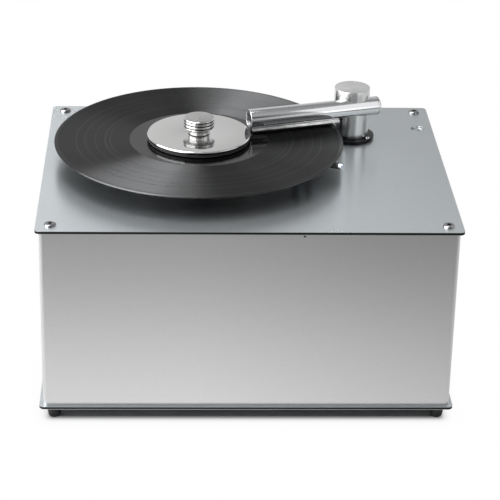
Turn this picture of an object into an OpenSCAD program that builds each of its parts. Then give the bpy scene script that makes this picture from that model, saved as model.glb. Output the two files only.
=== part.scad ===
/* [Cabinet] */
// Width of the top and base plates
plate_w = 418; // [412:1:450]
// Depth of the top and base plates
plate_d = 330; // [326:1:360]
// Thickness of the top and base plates
plate_t = 3; // [2:0.5:5]
// Corner radius of the plates
plate_corner_r = 5; // [3:0.5:8]
// How far the plates stand out past the folded panel
overhang = 3.6; // [2.5:0.1:6]
// Height of the folded panel between the plates
panel_h = 192; // [186:1:215]
// Thickness of the sheet metal
sheet_t = 1.5; // [1:0.1:2]
// Outside bend radius of the panel's front corners
bend_r = 4.5; // [3:0.1:6]
// Distance of the corner posts from the plate's edges
post_inset = 14.5; // [14:0.5:18]
// Radius of the corner posts
corner_post_r = 6.5; // [5.5:0.5:7]
// Radius of the small weep hole in the front panel
weep_hole_r = 0.7; // [0.5:0.1:1.5]

/* [Feet] */
// Height of the rubber feet
foot_h = 15; // [13:0.5:22]
// Radius of a foot where it meets the base plate
foot_top_r = 8; // [7:0.5:9]
// Radius of a foot near the floor
foot_low_r = 6.4; // [5.5:0.1:7]

/* [Platter and record] */
// Spindle position across, from the middle of the plate
spindle_x = -48; // [-54:1:-40]
// Spindle position back from the plate's front edge
spindle_y = 179; // [170:1:186]
// Height of the record's raised rim above the top plate
record_h = 24; // [23:0.5:26]
// Radius of the record
record_r = 150.8; // [149:0.1:152]
// Thickness of the record at its label and rim
record_t = 2; // [1.6:0.1:2.4]
// Radius of the platter under the record's label
platter_r = 49; // [45:0.5:52]
// Thickness of the platter
platter_t = 9; // [7:0.5:11]
// Thickness of the platter's rubber mat
mat_t = 1.5; // [1:0.1:2.5]
// Radius of the spindle where the record sits
spindle_r = 3.6; // [3.4:0.05:3.65]
// Radius of the platter's drive shaft
shaft_r = 5; // [4.5:0.1:6]

/* [Clamp] */
// Radius of the polished clamp disc
clamp_r = 54.2; // [50:0.1:55]
// Thickness of the clamp disc
clamp_t = 3; // [2.5:0.1:4]
// Thickness of the rubber ring under the clamp disc
gasket_t = 3.3; // [2.5:0.1:4]
// Radius of the clamp's knob
knob_r = 16.2; // [14:0.1:18]
// Height of the clamp's knob
knob_h = 16; // [15.5:0.1:18]
// Radius of the knob's neck
neck_r = 11.2; // [10:0.1:12]

/* [Suction arm] */
// Radius of the arm's post and head
post_r = 19; // [18.5:0.1:20]
// Height of the head's top above the top plate
head_h = 57.4; // [56:0.1:62]
// Angle of the arm over the record, from the plate's width
arm_angle = 16.4; // [15:0.1:18]
// Radius of the suction tube
tube_r = 9.9; // [9:0.1:10.5]
// Wall thickness of the suction tube
tube_wall = 1.2; // [1:0.1:1.5]
// How far the tube's axis lies in front of the post's axis
tube_offset = 12.3; // [11:0.1:13]
// Length of the tube from the post to its inner end
tube_reach = 120.7; // [118:0.1:122]
// Length of the tube from the post to its outer cap
tube_tail = 23; // [21:0.5:28]
// Gap between the clamp and the tube's inner end, along the tube
tube_end_gap = 1.75; // [1.4:0.05:4]
// How far the tube's axis passes behind the spindle
tube_behind = 3.47; // [2:0.01:6]
// Width of the lip bar under the tube
lip_w = 10.8; // [10:0.2:11.8]
// Depth of the lip bar that shows under the tube
lip_h = 4.4; // [3.5:0.1:6]
// Thickness of the velvet strips
velvet_t = 1.7; // [1:0.1:2.4]
// Width of the suction slot
slot_w = 2.4; // [1.6:0.1:3]
// Radius of the black flange ring at the post's foot
flange_r = 25.2; // [24.8:0.1:28]
// Height of the black flange ring
flange_h = 3.8; // [3:0.1:5]
// Radius of the standpipe that carries the arm
standpipe_r = 9; // [8.5:0.1:9.5]

/* [Edge roller] */
// Angle of the roller around the spindle
roller_angle = -22.5; // [-26:0.1:-16]
// Radius of the roller under the record's rim
roller_r = 3.3; // [3:0.1:4]
// Width of the roller
roller_w = 9; // [7:0.5:10]
// Radius of the roller axle's polished end
axle_head_r = 3.4; // [3:0.1:4]

/* [Tank and suction] */
// Width of the waste tank
tank_w = 130; // [120:1:134]
// Depth of the waste tank
tank_d = 126; // [118:1:128]
// Room between the waste tank's lid and the top plate
tank_room = 25; // [22:1:29]
// Wall thickness of the waste tank
tank_wall = 3; // [2.5:0.1:4]
// Thickness of the tank's lid
lid_t = 5; // [4:0.5:7]
// Radius of the vent plug beside the arm
vent_r = 7.9; // [7:0.1:8.5]
// Radius of the suction motor's body
motor_r = 45; // [40:1:48]
// Radius of the suction motor's fan housing
fan_r = 62; // [58:1:64]
// Inside radius of the suction hose
hose_r = 16; // [14:0.5:18]
// Wall thickness of the suction hose
hose_wall = 3; // [2:0.5:4]

/* [Drive] */
// Radius of the drive motor
drive_r = 28; // [24:1:30]
// Height of the drive motor
drive_h = 47; // [40:1:52]
// Radius of the gearbox
gearbox_r = 31; // [30:1:34]
// Height of the gearbox
gearbox_h = 28; // [24:1:32]
// Length of the standoffs that hang the gearbox plate
standoff_h = 40; // [38:1:46]

/* [Controls and connections] */
// Height of the two rocker switches above the base plate
switch_z = 132; // [110:1:160]
// Position of the direction switch back from the plate's front edge
switch_y = 62; // [45:1:80]
// Distance between the two rocker switches
switch_pitch = 34; // [26:1:50]
// How far each rocker tilts from level
rocker_tilt = 12; // [8:1:14]
// Position of the mains inlet across
inlet_x = 5; // [-20:1:30]
// Height of the mains inlet above the base plate
inlet_z = 38; // [30:1:60]
// Height of the drain tap above the base plate
drain_z = 18; // [16:0.5:24]
// Radius of the drain spigot
spigot_r = 5; // [4.5:0.1:6]
// Length of the drain spigot
spigot_len = 18; // [14:1:24]

/* [Hidden] */
$fn = 96;

// Clearances
press_gap = 0.02;
run_gap = 0.05;
move_gap = 0.3;
past = 1;
overlap = 0.5;

// Heights of the plates
base_top = foot_h + plate_t;
lid_under = base_top + panel_h;
deck = lid_under + plate_t;

// The cabinet in plan, measured back from the plate's front edge
panel_w = plate_w - 2 * overhang;
panel_back = plate_d - overhang;
panel_in = overhang + sheet_t;
inner_x = plate_w / 2 - panel_in;
post_mid_x = plate_w / 2 - post_inset;
post_ys = [post_inset, plate_d - post_inset];
weep_from_side = 150.9;
weep_x = inner_x - weep_from_side;
weep_drop = 6.1;

// The drain's length sets the middle of the whole machine
valve_len = 22;
reach_back = panel_back + valve_len + spigot_len;
mid_y = reach_back / 2;

// Screws
m6_r = 2.9;
m3_r = 1.5;
button_r = 6;
button_h = 2.4;
socket_r = 2.3;
m3_socket_r = 1.1;
post_hole_depth = 22;
hole_spare = 5;
nut_room = 4;

// Rear screws and the flanges that they hold
rear_head_r = 2.8;
rear_head_h = 1.8;
rear_screw_len = 9;
rear_screw_gap = 2;
rear_screw_x = post_mid_x - corner_post_r - m3_r - rear_screw_gap;
rear_screw_edge = 5;
flange_w = inner_x - rear_screw_x + rear_screw_edge;
rear_screw_end = 40;
rear_screw_zs = [base_top + rear_screw_end, base_top + panel_h - rear_screw_end];

// Feet
tread_round = 3.4;
stud_low = 6;
stud_in_post = 14;

// Record and platter heights above the floor
record_top = deck + record_h;
record_low = record_top - record_t;
platter_top = record_low - mat_t;
platter_low = platter_top - platter_t;
bearing_r = 13;
bearing_flange_r = 23;
bearing_flange_h = 3;
bearing_depth = 9;
bearing_low = lid_under - bearing_depth;
bush_r = 8;
bearing_screw_r = 18.5;
bearing_screw_angles = [30, 150, 270];
bearing_head_r = 2.8;
bearing_head_h = 1.6;
hub_gap = 1.7;
hub_r = bearing_screw_r - bearing_head_r - hub_gap;
hub_step = 5;
hub_low = deck + bearing_flange_h + move_gap;

// Clamp heights
gasket_low = record_top + move_gap;
clamp_low = gasket_low + gasket_t;
clamp_top = clamp_low + clamp_t;
knob_low = clamp_top + move_gap;
knob_top = knob_low + knob_h;
thread_r = 3;
insert_r = 6;
insert_lip_r = 8;
insert_lip_t = 2;
knob_roof = 2;
gasket_in_r = 38;

// The arm post's place follows from the tube's reach past the clamp
tube_along = clamp_r + tube_end_gap + tube_reach;
tube_aside = tube_behind + tube_offset;
post_x = spindle_x + cos(arm_angle) * tube_along - sin(arm_angle) * tube_aside;
post_y = spindle_y + sin(arm_angle) * tube_along + cos(arm_angle) * tube_aside;

// Arm heights and lengths
post_low = deck + flange_h + 0.5;
velvet_low = record_top + move_gap;
lip_low = velvet_low + velvet_t;
lip_top = lip_low + lip_h;
flat_over = 0.2;
tube_z = lip_top + sqrt(pow(tube_r, 2) - pow(lip_w / 2 + flat_over, 2));
head_top = deck + head_h;
lip_start = post_r + 0.7;
lip_end = tube_reach - 2.5;
velvet_start = lip_start + 10;
velvet_end = lip_end - 1;
post_bore_r = standpipe_r + 3.4;
spring_seat = deck + 0.8;
collar_low = deck + 8;
collar_t = 2;
bush_low = collar_low + collar_t + move_gap;
standpipe_top = tube_z - tube_r - 1.2;
bush_top = standpipe_top;
chamber_r = standpipe_r;
standpipe_wall = 1.5;
standpipe_in_tank = 8;
head_screw_x = 9;
head_screw_y = -13;
head_screw_r = 2.7;
head_screw_seat = post_low + 4;
flange_screw_angles = [-38, 82, 202];
flange_screw_r = post_r + 3.1;
flange_head_r = 2.3;
flange_head_h = 1.4;

// Lift spring, a round wire wound around the standpipe as one tube of eight sides
spring_wire_r = 0.5;
spring_turns = 4;
spring_steps = 24;
spring_r = standpipe_r + 1.7;
spring_low = spring_seat + spring_wire_r + run_gap;
spring_high = collar_low - spring_wire_r - run_gap;

// Edge roller, drawn along +X from the spindle
axle_r = 2;
axle_shoulder_r = 2.6;
axle_head_t = 4.3;
ear_t = 3;
ear_w = 11;
ear_over = 3.2;
peg_y = 3.2;
bracket_base_t = 3;
bracket_len = 18;
bracket_inset = 20;
roller_over = 2.9;
roller_out = record_r + roller_over;
roller_in = roller_out - roller_w;
roller_z = record_low - move_gap - roller_r;
bracket_out = roller_in - bracket_inset;
bracket_in = bracket_out - bracket_len;

// Drive heights
gear_plate_t = 3;
gear_plate_top = lid_under - standoff_h;
gear_plate_low = gear_plate_top - gear_plate_t;
gearbox_low = gear_plate_low - gearbox_h;
drive_low = gearbox_low - drive_h;
output_r = 4;
output_inside = 18;
standoff_r = 4;
standoff_out = 8;
coupling_r = 10;
coupling_top = bearing_low - 1;
coupling_low = coupling_top - 22;
shaft_low = coupling_low + 12;

// Tank and suction motor places
tank_x = inner_x - 2 - tank_w / 2;
tank_back = plate_d - post_inset - corner_post_r - 2;
tank_h = panel_h - tank_room - lid_t;
tank_top = base_top + tank_h;
vent_side_gap = 3;
vent_stem_r = 5;
vent_x = inner_x - vent_r - vent_side_gap;
vent_forward = 39;
vent_y = tank_back - vent_forward;
fan_side_gap = 21.9;
fan_back_gap = 7.9;
motor_x = fan_side_gap + fan_r - inner_x;
motor_y = panel_back - sheet_t - fan_back_gap - fan_r;
motor_low = base_top + 6;
motor_h = 62;
fan_low = motor_low + motor_h;
fan_h = 48;
fan_top = fan_low + fan_h;
elbow_r = 30;
elbow_roof = 3;
port_wall = 3;
hose_z = fan_top + hose_r + hose_wall + 2;
elbow_h = hose_z + hose_r + elbow_roof - fan_top;
hose_x0 = motor_x + elbow_r + 4;
tank_left = tank_x - tank_w / 2;

// Run capacitor and terminal block
capacitor_r = 17.5;
capacitor_h = 65;
capacitor_gap = 36;
capacitor_x = capacitor_gap + capacitor_r - inner_x;
capacitor_y = panel_in + capacitor_gap + capacitor_r;
terminal_w = 48;
terminal_d = 20;
terminal_h = 15;
terminal_ways = 6;
terminal_side_gap = 25;
terminal_back_gap = 49;
terminal_x = tank_left - terminal_w - terminal_side_gap;
terminal_y = tank_back - tank_d - terminal_d - terminal_back_gap;

// Switches
switch_ys = [switch_y, switch_y + switch_pitch];
rocker_r = 8;
rocker_w = 10.4;
rocker_pin_r = 1.2;
pivot_in = 2.4;
switch_body_w = 14;
switch_body_h = 20;
switch_depth = 14;
bezel_over = 1.5;
bezel_t = 1.2;
panel_face_x = panel_w / 2;
pivot_x = panel_face_x + bezel_t - pivot_in - 2.8;

// Mains inlet
inlet_w = 27;
inlet_h = 20;
inlet_depth = 24;
inlet_cavity_w = 24;
inlet_cavity_h = 16;
inlet_cavity_depth = 17;
inlet_rim = 2.5;
inlet_rim_t = 2;

// Drain tap
valve_r = 9;
valve_neck_r = valve_r - 2;
valve_bore_r = 3.5;
ball_r = 6;
valve_seat_y = tank_back + 2;
ball_y = panel_back + 12;
drain_x = tank_x;
drain_height = base_top + drain_z;
stem_r = 2.5;
lever_len = 38;
lever_w = 8;
lever_t = 3;
lever_z = drain_height + valve_r + 3;

// Puts a piece, measured back from the plate's front edge, into the machine's own frame
module placed(x = 0, y = 0, z = 0) {
    translate([x, y - mid_y, z]) children();
}

module ring(outer, inner, height) {
    difference() {
        cylinder(r = outer, h = height);
        translate([0, 0, -past]) cylinder(r = inner, h = height + 2 * past);
    }
}

module rod_x(radius, length) {
    rotate([0, 90, 0]) cylinder(r = radius, h = length);
}

module rod_y(radius, length) {
    rotate([-90, 0, 0]) cylinder(r = radius, h = length);
}

// A rectangle with four round corners, standing back from y = 0
module round_rect(width, depth, corner) {
    translate([-width / 2, corner]) square([width, depth - 2 * corner]);
    translate([-width / 2 + corner, 0]) square([width - 2 * corner, depth]);
    for (x = [-1, 1], y = [corner, depth - corner])
        translate([x * (width / 2 - corner), y]) circle(r = corner);
}

// A rectangle with only its two front corners round
module front_round_rect(width, depth, corner) {
    translate([-width / 2, corner]) square([width, depth - corner]);
    translate([-width / 2 + corner, 0]) square([width - 2 * corner, corner + past]);
    for (x = [-1, 1]) translate([x * (width / 2 - corner), corner]) circle(r = corner);
}

module plate() {
    linear_extrude(plate_t) round_rect(plate_w, plate_d, plate_corner_r);
}

module at_corners() {
    for (x = [-post_mid_x, post_mid_x], y = post_ys) translate([x, y, 0]) children();
}

// A domed screw with a hexagon socket, its seat at z = 0
module button_screw(head_r, head_height, shank_r, shank_len, hex_r) {
    difference() {
        union() {
            rotate_extrude() polygon([
                [0, 0], [head_r, 0], [head_r, head_height * 0.3],
                [head_r * 0.9, head_height * 0.68], [head_r * 0.68, head_height * 0.92],
                [head_r * 0.45, head_height], [0, head_height]]);
            translate([0, 0, -shank_len]) cylinder(r = shank_r, h = shank_len + overlap);
        }
        translate([0, 0, head_height * 0.35]) cylinder(r = hex_r, h = head_height, $fn = 6);
    }
}

module base_plate() {
    vent_w = 4;
    vent_len = 60;
    vent_pitch = 12;
    vent_count = 6;
    vent_front = motor_y - fan_r - 43;
    color("gray") difference() {
        placed(0, 0, foot_h) plate();
        placed() at_corners() translate([0, 0, foot_h - past])
            cylinder(r = m6_r + run_gap, h = plate_t + 2 * past);
        for (i = [0:vent_count - 1])
            placed(motor_x + vent_pitch * (i - vent_count / 2), vent_front - vent_len, foot_h - past)
                cube([vent_w, vent_len, plate_t + 2 * past]);
    }
}

module top_plate() {
    color("silver") difference() {
        placed(0, 0, lid_under) plate();
        placed() at_corners() translate([0, 0, lid_under - past])
            cylinder(r = m6_r + run_gap, h = plate_t + 2 * past);
        placed(spindle_x, spindle_y, lid_under - past)
            cylinder(r = bearing_r + press_gap, h = plate_t + 2 * past);
        placed(post_x, post_y, lid_under - past)
            cylinder(r = standpipe_r + press_gap, h = plate_t + 2 * past);
        placed(vent_x, vent_y, lid_under - past)
            cylinder(r = vent_r + press_gap, h = plate_t + 2 * past);
        for (a = flange_screw_angles) placed(post_x, post_y, lid_under - past)
            rotate(a) translate([flange_screw_r, 0, 0])
                cylinder(r = m3_r + press_gap, h = plate_t + 2 * past);
        for (a = bearing_screw_angles) placed(spindle_x, spindle_y, lid_under - past)
            rotate(a) translate([bearing_screw_r, 0, 0])
                cylinder(r = m3_r + press_gap, h = plate_t + 2 * past);
        on_roller() at_pegs() translate([0, 0, lid_under - past])
            cylinder(r = m3_r + press_gap, h = plate_t + 2 * past);
    }
}

// The U-shaped folded sheet: front, both sides and the rear flanges
module wrap_panel() {
    color("gainsboro") difference() {
        placed(0, overhang, base_top) linear_extrude(panel_h) {
            difference() {
                front_round_rect(panel_w, panel_back - overhang, bend_r);
                translate([0, sheet_t]) front_round_rect(
                    panel_w - 2 * sheet_t, panel_back - overhang, bend_r - sheet_t);
            }
            for (x = [-inner_x, inner_x - flange_w])
                translate([x, panel_back - overhang - 2 * sheet_t])
                    square([flange_w, sheet_t]);
        }
        for (y = switch_ys) placed(panel_face_x - sheet_t - past,
            y - switch_body_w / 2 - press_gap,
            base_top + switch_z - switch_body_h / 2 - press_gap)
            cube([sheet_t + 2 * past, switch_body_w + 2 * press_gap,
                switch_body_h + 2 * press_gap]);
        placed(weep_x, overhang - past, deck - weep_drop) rod_y(weep_hole_r, sheet_t + 2 * past);
        rear_screw_holes();
    }
}

module at_rear_screws() {
    for (x = [-rear_screw_x, rear_screw_x], z = rear_screw_zs) placed(x, panel_back, z)
        children();
}

module rear_screw_holes() {
    at_rear_screws() translate([0, -2 * sheet_t - past, 0])
        rod_y(m3_r + press_gap, 2 * sheet_t + 2 * past);
}

module rear_panel() {
    slot_count = 9;
    slot_pitch = 9;
    slot_w_rear = 3;
    slot_len = 70;
    slot_low = fan_low + (fan_h - slot_len) / 2;
    color("gainsboro") difference() {
        placed(-inner_x + press_gap, panel_back - sheet_t, base_top)
            cube([2 * inner_x - 2 * press_gap, sheet_t, panel_h]);
        placed(inlet_x - inlet_w / 2 - press_gap, panel_back - sheet_t - past,
            base_top + inlet_z - inlet_h / 2 - press_gap)
            cube([inlet_w + 2 * press_gap, sheet_t + 2 * past, inlet_h + 2 * press_gap]);
        placed(drain_x, panel_back - sheet_t - past, drain_height)
            rod_y(valve_neck_r + press_gap, sheet_t + 2 * past);
        for (i = [0:slot_count - 1])
            placed(motor_x + slot_pitch * (i - (slot_count - 1) / 2) - slot_w_rear / 2,
                panel_back - sheet_t - past, slot_low)
                cube([slot_w_rear, sheet_t + 2 * past, slot_len]);
        rear_screw_holes();
    }
}

module corner_posts() {
    color("darkgray") placed() at_corners() difference() {
        translate([0, 0, base_top]) cylinder(r = corner_post_r, h = panel_h);
        for (z = [base_top - past, lid_under - post_hole_depth])
            translate([0, 0, z]) cylinder(r = m6_r + press_gap, h = post_hole_depth + past);
    }
}

module top_screws() {
    color("lightgray") placed() at_corners() translate([0, 0, deck])
        button_screw(button_r, button_h, m6_r, plate_t + post_hole_depth - hole_spare, socket_r);
}

// Tapered feet with a rounded tread, each bonded to a stud
module feet() {
    steps = 6;
    tread = [for (i = [0:steps]) let (a = 90 * i / steps)
        [foot_low_r - tread_round * (1 - sin(a)), tread_round * (1 - cos(a))]];
    color("black") placed() at_corners() difference() {
        rotate_extrude() polygon(concat(
            [[0, 0]], tread, [[foot_top_r, foot_h], [0, foot_h]]));
        translate([0, 0, stud_low]) cylinder(r = m6_r + press_gap, h = foot_h);
    }
}

module foot_studs() {
    color("gray") placed() at_corners() translate([0, 0, stud_low])
        cylinder(r = m6_r, h = base_top + stud_in_post - stud_low);
}

module rear_screws() {
    color("dimgray") at_rear_screws() rotate([-90, 0, 0])
        button_screw(rear_head_r, rear_head_h, m3_r, rear_screw_len, m3_socket_r);
}

module bearing_housing() {
    color("darkgray") placed(spindle_x, spindle_y, 0) difference() {
        union() {
            translate([0, 0, bearing_low]) cylinder(r = bearing_r, h = deck - bearing_low);
            translate([0, 0, deck]) cylinder(r = bearing_flange_r, h = bearing_flange_h);
        }
        translate([0, 0, bearing_low - past])
            cylinder(r = bush_r + press_gap, h = deck + bearing_flange_h - bearing_low + 2 * past);
        for (a = bearing_screw_angles) rotate(a) translate([bearing_screw_r, 0, deck - past])
            cylinder(r = m3_r + press_gap, h = bearing_flange_h + 2 * past);
    }
}

module bearing_bush() {
    color("goldenrod") placed(spindle_x, spindle_y, bearing_low)
        ring(bush_r, shaft_r + run_gap, deck + bearing_flange_h - bearing_low);
}

module bearing_screws() {
    length = bearing_flange_h + plate_t + nut_room;
    color("gray") for (a = bearing_screw_angles)
        placed(spindle_x, spindle_y, deck + bearing_flange_h)
            rotate(a) translate([bearing_screw_r, 0, 0])
                button_screw(bearing_head_r, bearing_head_h, m3_r, length, m3_socket_r);
}

module spindle_shaft() {
    step_z = platter_low + hub_step;
    thread_z = record_top + 0.2;
    thread_top = knob_top - 3;
    color("lightgray") placed(spindle_x, spindle_y, 0) {
        translate([0, 0, shaft_low]) cylinder(r = shaft_r, h = step_z - shaft_low);
        translate([0, 0, step_z - overlap])
            cylinder(r = spindle_r, h = thread_z - step_z + overlap);
        translate([0, 0, thread_z - overlap])
            cylinder(r = thread_r, h = thread_top - thread_z + overlap);
    }
}

module shaft_coupling() {
    color("silver") placed(spindle_x, spindle_y, 0) difference() {
        translate([0, 0, coupling_low]) cylinder(r = coupling_r, h = coupling_top - coupling_low);
        translate([0, 0, shaft_low])
            cylinder(r = shaft_r + press_gap, h = coupling_top - shaft_low + past);
        translate([0, 0, coupling_low - past])
            cylinder(r = output_r + press_gap, h = shaft_low - coupling_low + 2 * past);
    }
}

module motor_output_shaft() {
    color("lightgray") placed(spindle_x, spindle_y, gear_plate_low - output_inside)
        cylinder(r = output_r, h = shaft_low - gear_plate_low + output_inside);
}

module platter() {
    step_z = platter_low + hub_step;
    color("dimgray") placed(spindle_x, spindle_y, 0) difference() {
        union() {
            translate([0, 0, platter_low]) cylinder(r = platter_r, h = platter_t);
            translate([0, 0, hub_low]) cylinder(r = hub_r, h = platter_low - hub_low + overlap);
        }
        translate([0, 0, hub_low - past])
            cylinder(r = shaft_r + press_gap, h = step_z - hub_low + past);
        translate([0, 0, step_z - past])
            cylinder(r = spindle_r + press_gap, h = platter_top - step_z + 2 * past);
    }
}

module platter_mat() {
    mat_inset = 0.5;
    color("black") placed(spindle_x, spindle_y, platter_top)
        ring(platter_r - mat_inset, spindle_r + run_gap, mat_t);
}

// Label zone, grooves and raised rim, turned about the spindle
module record() {
    label_r = 50;
    lead_out_r = 59;
    rim_r = 147;
    slope = 1.5;
    edge_in = 0.7;
    edge_h = 0.6;
    sunk = 0.35;
    half = record_t / 2;
    thin = half - sunk;
    color([0.08, 0.08, 0.08]) placed(spindle_x, spindle_y, record_top - half)
        rotate_extrude() polygon([
            [spindle_r + run_gap, -half], [label_r, -half], [label_r + slope, -thin],
            [lead_out_r, -thin], [rim_r - slope, -thin], [rim_r, -half],
            [record_r - edge_in, -half], [record_r, edge_h - half], [record_r, half - edge_h],
            [record_r - edge_in, half], [rim_r, half], [rim_r - slope, thin],
            [lead_out_r, thin], [label_r + slope, thin], [label_r, half],
            [spindle_r + run_gap, half]]);
}

module clamp_gasket() {
    set_in = 0.7;
    color("black") placed(spindle_x, spindle_y, gasket_low)
        ring(clamp_r - set_in, gasket_in_r, gasket_t);
}

module clamp_disc() {
    bevel = 0.9;
    edge = 0.3;
    color("white") placed(spindle_x, spindle_y, clamp_low) difference() {
        rotate_extrude() polygon([
            [0, 0], [clamp_r - edge, 0], [clamp_r, edge], [clamp_r, clamp_t - bevel],
            [clamp_r - bevel, clamp_t], [0, clamp_t]]);
        translate([0, 0, -past]) cylinder(r = insert_r + run_gap, h = clamp_t + 2 * past);
    }
}

// Neck, swept shoulder and three ribs under a slightly domed top
module clamp_knob() {
    rib_pitch = 3.4;
    top_land = 1.4;
    groove_w = 0.9;
    groove_r = knob_r - 1.5;
    rib_edge = 0.3;
    shoulder_r = knob_r - 0.7;
    first_groove = knob_h - 2 * rib_pitch - top_land;
    neck_h = 1.4;
    sweep_steps = 8;
    sweep_h = first_groove - groove_w / 2 - 0.4 - neck_h;
    sweep = [for (i = [0:sweep_steps]) let (a = 90 * i / sweep_steps)
        [neck_r + (shoulder_r - neck_r) * (1 - cos(a)), neck_h + sweep_h * sin(a)]];
    grooves = [for (g = [0:2]) let (z = first_groove + g * rib_pitch)
        each [[knob_r - rib_edge, z - groove_w / 2 - 0.3], [groove_r, z - groove_w / 2],
            [groove_r, z + groove_w / 2], [knob_r - rib_edge, z + groove_w / 2 + 0.1],
            [knob_r, z + groove_w / 2 + 0.4],
            [knob_r, z + (g < 2 ? rib_pitch - groove_w / 2 - 0.6 : knob_h - z - 0.6)]]];
    top = [[knob_r - 0.5, knob_h], [knob_r * 0.6, knob_h + 0.2], [0, knob_h + 0.3]];
    color("silver") placed(spindle_x, spindle_y, knob_low) difference() {
        rotate_extrude() polygon(concat([[0, 0], [neck_r, 0]], sweep, grooves, top));
        translate([0, 0, -past]) cylinder(r = insert_r + press_gap, h = knob_h - knob_roof + past);
    }
}

// The threaded brass insert, whose lip holds the disc to the knob
module clamp_insert() {
    lip_low_z = clamp_low - move_gap - insert_lip_t;
    top_z = knob_low + knob_h - knob_roof;
    color("goldenrod") placed(spindle_x, spindle_y, 0) difference() {
        union() {
            translate([0, 0, lip_low_z]) cylinder(r = insert_lip_r, h = insert_lip_t);
            translate([0, 0, lip_low_z]) cylinder(r = insert_r, h = top_z - lip_low_z);
        }
        translate([0, 0, lip_low_z - past])
            cylinder(r = thread_r + run_gap, h = top_z - lip_low_z + 2 * past);
    }
}

module arm_flange() {
    edge = 0.5;
    color("black") placed(post_x, post_y, deck) difference() {
        rotate_extrude() polygon([
            [0, 0], [flange_r, 0], [flange_r, flange_h - edge],
            [flange_r - edge, flange_h], [0, flange_h]]);
        translate([0, 0, -past]) cylinder(r = standpipe_r + press_gap, h = flange_h + 2 * past);
        translate([0, 0, spring_seat - deck])
            cylinder(r = post_bore_r, h = flange_h);
        for (a = flange_screw_angles) rotate(a) translate([flange_screw_r, 0, -past])
            cylinder(r = m3_r + press_gap, h = flange_h + 2 * past);
    }
}

module flange_screws() {
    length = flange_h + plate_t + nut_room;
    color("lightgray") for (a = flange_screw_angles) placed(post_x, post_y, deck + flange_h)
        rotate(a) translate([flange_screw_r, 0, 0])
            button_screw(flange_head_r, flange_head_h, m3_r, length, m3_socket_r);
}

module standpipe() {
    low = tank_top - standpipe_in_tank;
    color("silver") placed(post_x, post_y, low)
        ring(standpipe_r, standpipe_r - standpipe_wall, standpipe_top - low);
}

function spring_point(i, side) =
    let (turn = 360 * i / spring_steps,
        rise = (spring_high - spring_low) * i / (spring_turns * spring_steps),
        out = spring_r + spring_wire_r * cos(45 * side))
    [out * cos(turn), out * sin(turn), spring_low + rise + spring_wire_r * sin(45 * side)];

module lift_spring() {
    count = spring_turns * spring_steps;
    points = [for (i = [0:count], s = [0:7]) spring_point(i, s)];
    sides = [for (i = [0:count - 1], s = [0:7])
        [8 * i + s, 8 * i + (s + 1) % 8, 8 * (i + 1) + (s + 1) % 8, 8 * (i + 1) + s]];
    first_end = [[for (s = [7:-1:0]) s]];
    last_end = [[for (s = [0:7]) 8 * count + s]];
    color("gray") placed(post_x, post_y, 0)
        polyhedron(points, concat(sides, first_end, last_end));
}

module thrust_collar() {
    color("goldenrod") placed(post_x, post_y, collar_low)
        ring(post_bore_r - move_gap, standpipe_r + run_gap, collar_t);
}

// Everything on the arm is drawn along +X from the post, then turned over the record
module on_arm() {
    placed(post_x, post_y, 0) rotate(180 + arm_angle) children();
}

module tube_bore(radius) {
    translate([-tube_reach, tube_offset, tube_z]) rod_x(radius, 2 * tube_reach);
}

module arm_bush() {
    color("goldenrod") placed(post_x, post_y, bush_low)
        ring(post_bore_r - press_gap, standpipe_r + run_gap, bush_top - bush_low);
}

module at_head_screws() {
    for (x = [-head_screw_x, head_screw_x]) translate([x, head_screw_y, 0]) children();
}

module arm_post() {
    edge = 0.4;
    chamber_over = 5;
    color("silver") on_arm() difference() {
        translate([0, 0, post_low]) rotate_extrude() polygon([
            [0, 0], [post_r - edge, 0], [post_r, edge],
            [post_r, tube_z - post_low], [0, tube_z - post_low]]);
        translate([0, 0, post_low - past]) cylinder(r = post_bore_r, h = bush_top - post_low + past);
        translate([0, 0, post_low]) cylinder(r = chamber_r, h = bush_top - post_low + chamber_over);
        tube_bore(tube_r + press_gap);
        at_head_screws() {
            translate([0, 0, post_low - past])
                cylinder(r = head_screw_r + run_gap, h = head_screw_seat - post_low + past);
            translate([0, 0, head_screw_seat - past])
                cylinder(r = m3_r + press_gap, h = tube_z - head_screw_seat + 2 * past);
        }
    }
}

module arm_head() {
    edge = 0.5;
    thread_len = 10;
    color("silver") on_arm() difference() {
        translate([0, 0, tube_z]) rotate_extrude() polygon([
            [0, 0], [post_r, 0], [post_r, head_top - tube_z - edge],
            [post_r - edge, head_top - tube_z], [0, head_top - tube_z]]);
        tube_bore(tube_r + press_gap);
        at_head_screws() translate([0, 0, tube_z - past])
            cylinder(r = m3_r + press_gap, h = thread_len);
    }
}

module head_screws() {
    head_t = 3;
    reach = 8;
    color("dimgray") on_arm() at_head_screws() {
        translate([0, 0, head_screw_seat - head_t]) cylinder(r = head_screw_r, h = head_t);
        translate([0, 0, head_screw_seat - overlap])
            cylinder(r = m3_r, h = tube_z + reach - head_screw_seat);
    }
}

module suction_tube() {
    port_r = 3.5;
    port_forward = 6;
    color("silver") on_arm() difference() {
        translate([-tube_tail, tube_offset, tube_z]) rod_x(tube_r, tube_tail + tube_reach);
        tube_bore(tube_r - tube_wall);
        translate([lip_start, tube_offset - tube_r - past, lip_top - tube_r])
            cube([lip_end - lip_start, 2 * tube_r + 2 * past, tube_r]);
        translate([0, tube_offset - port_forward, tube_z - tube_r - past])
            cylinder(r = port_r, h = tube_r);
    }
}

module tube_plug() {
    recess = 1.6;
    plug_t = 5;
    color("dimgray") on_arm() difference() {
        translate([tube_reach - recess - plug_t, tube_offset, tube_z])
            rod_x(tube_r - tube_wall - press_gap, plug_t);
        translate([lip_start, tube_offset - tube_r, lip_top - tube_r])
            cube([lip_end - lip_start, 2 * tube_r, tube_r]);
    }
}

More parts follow.
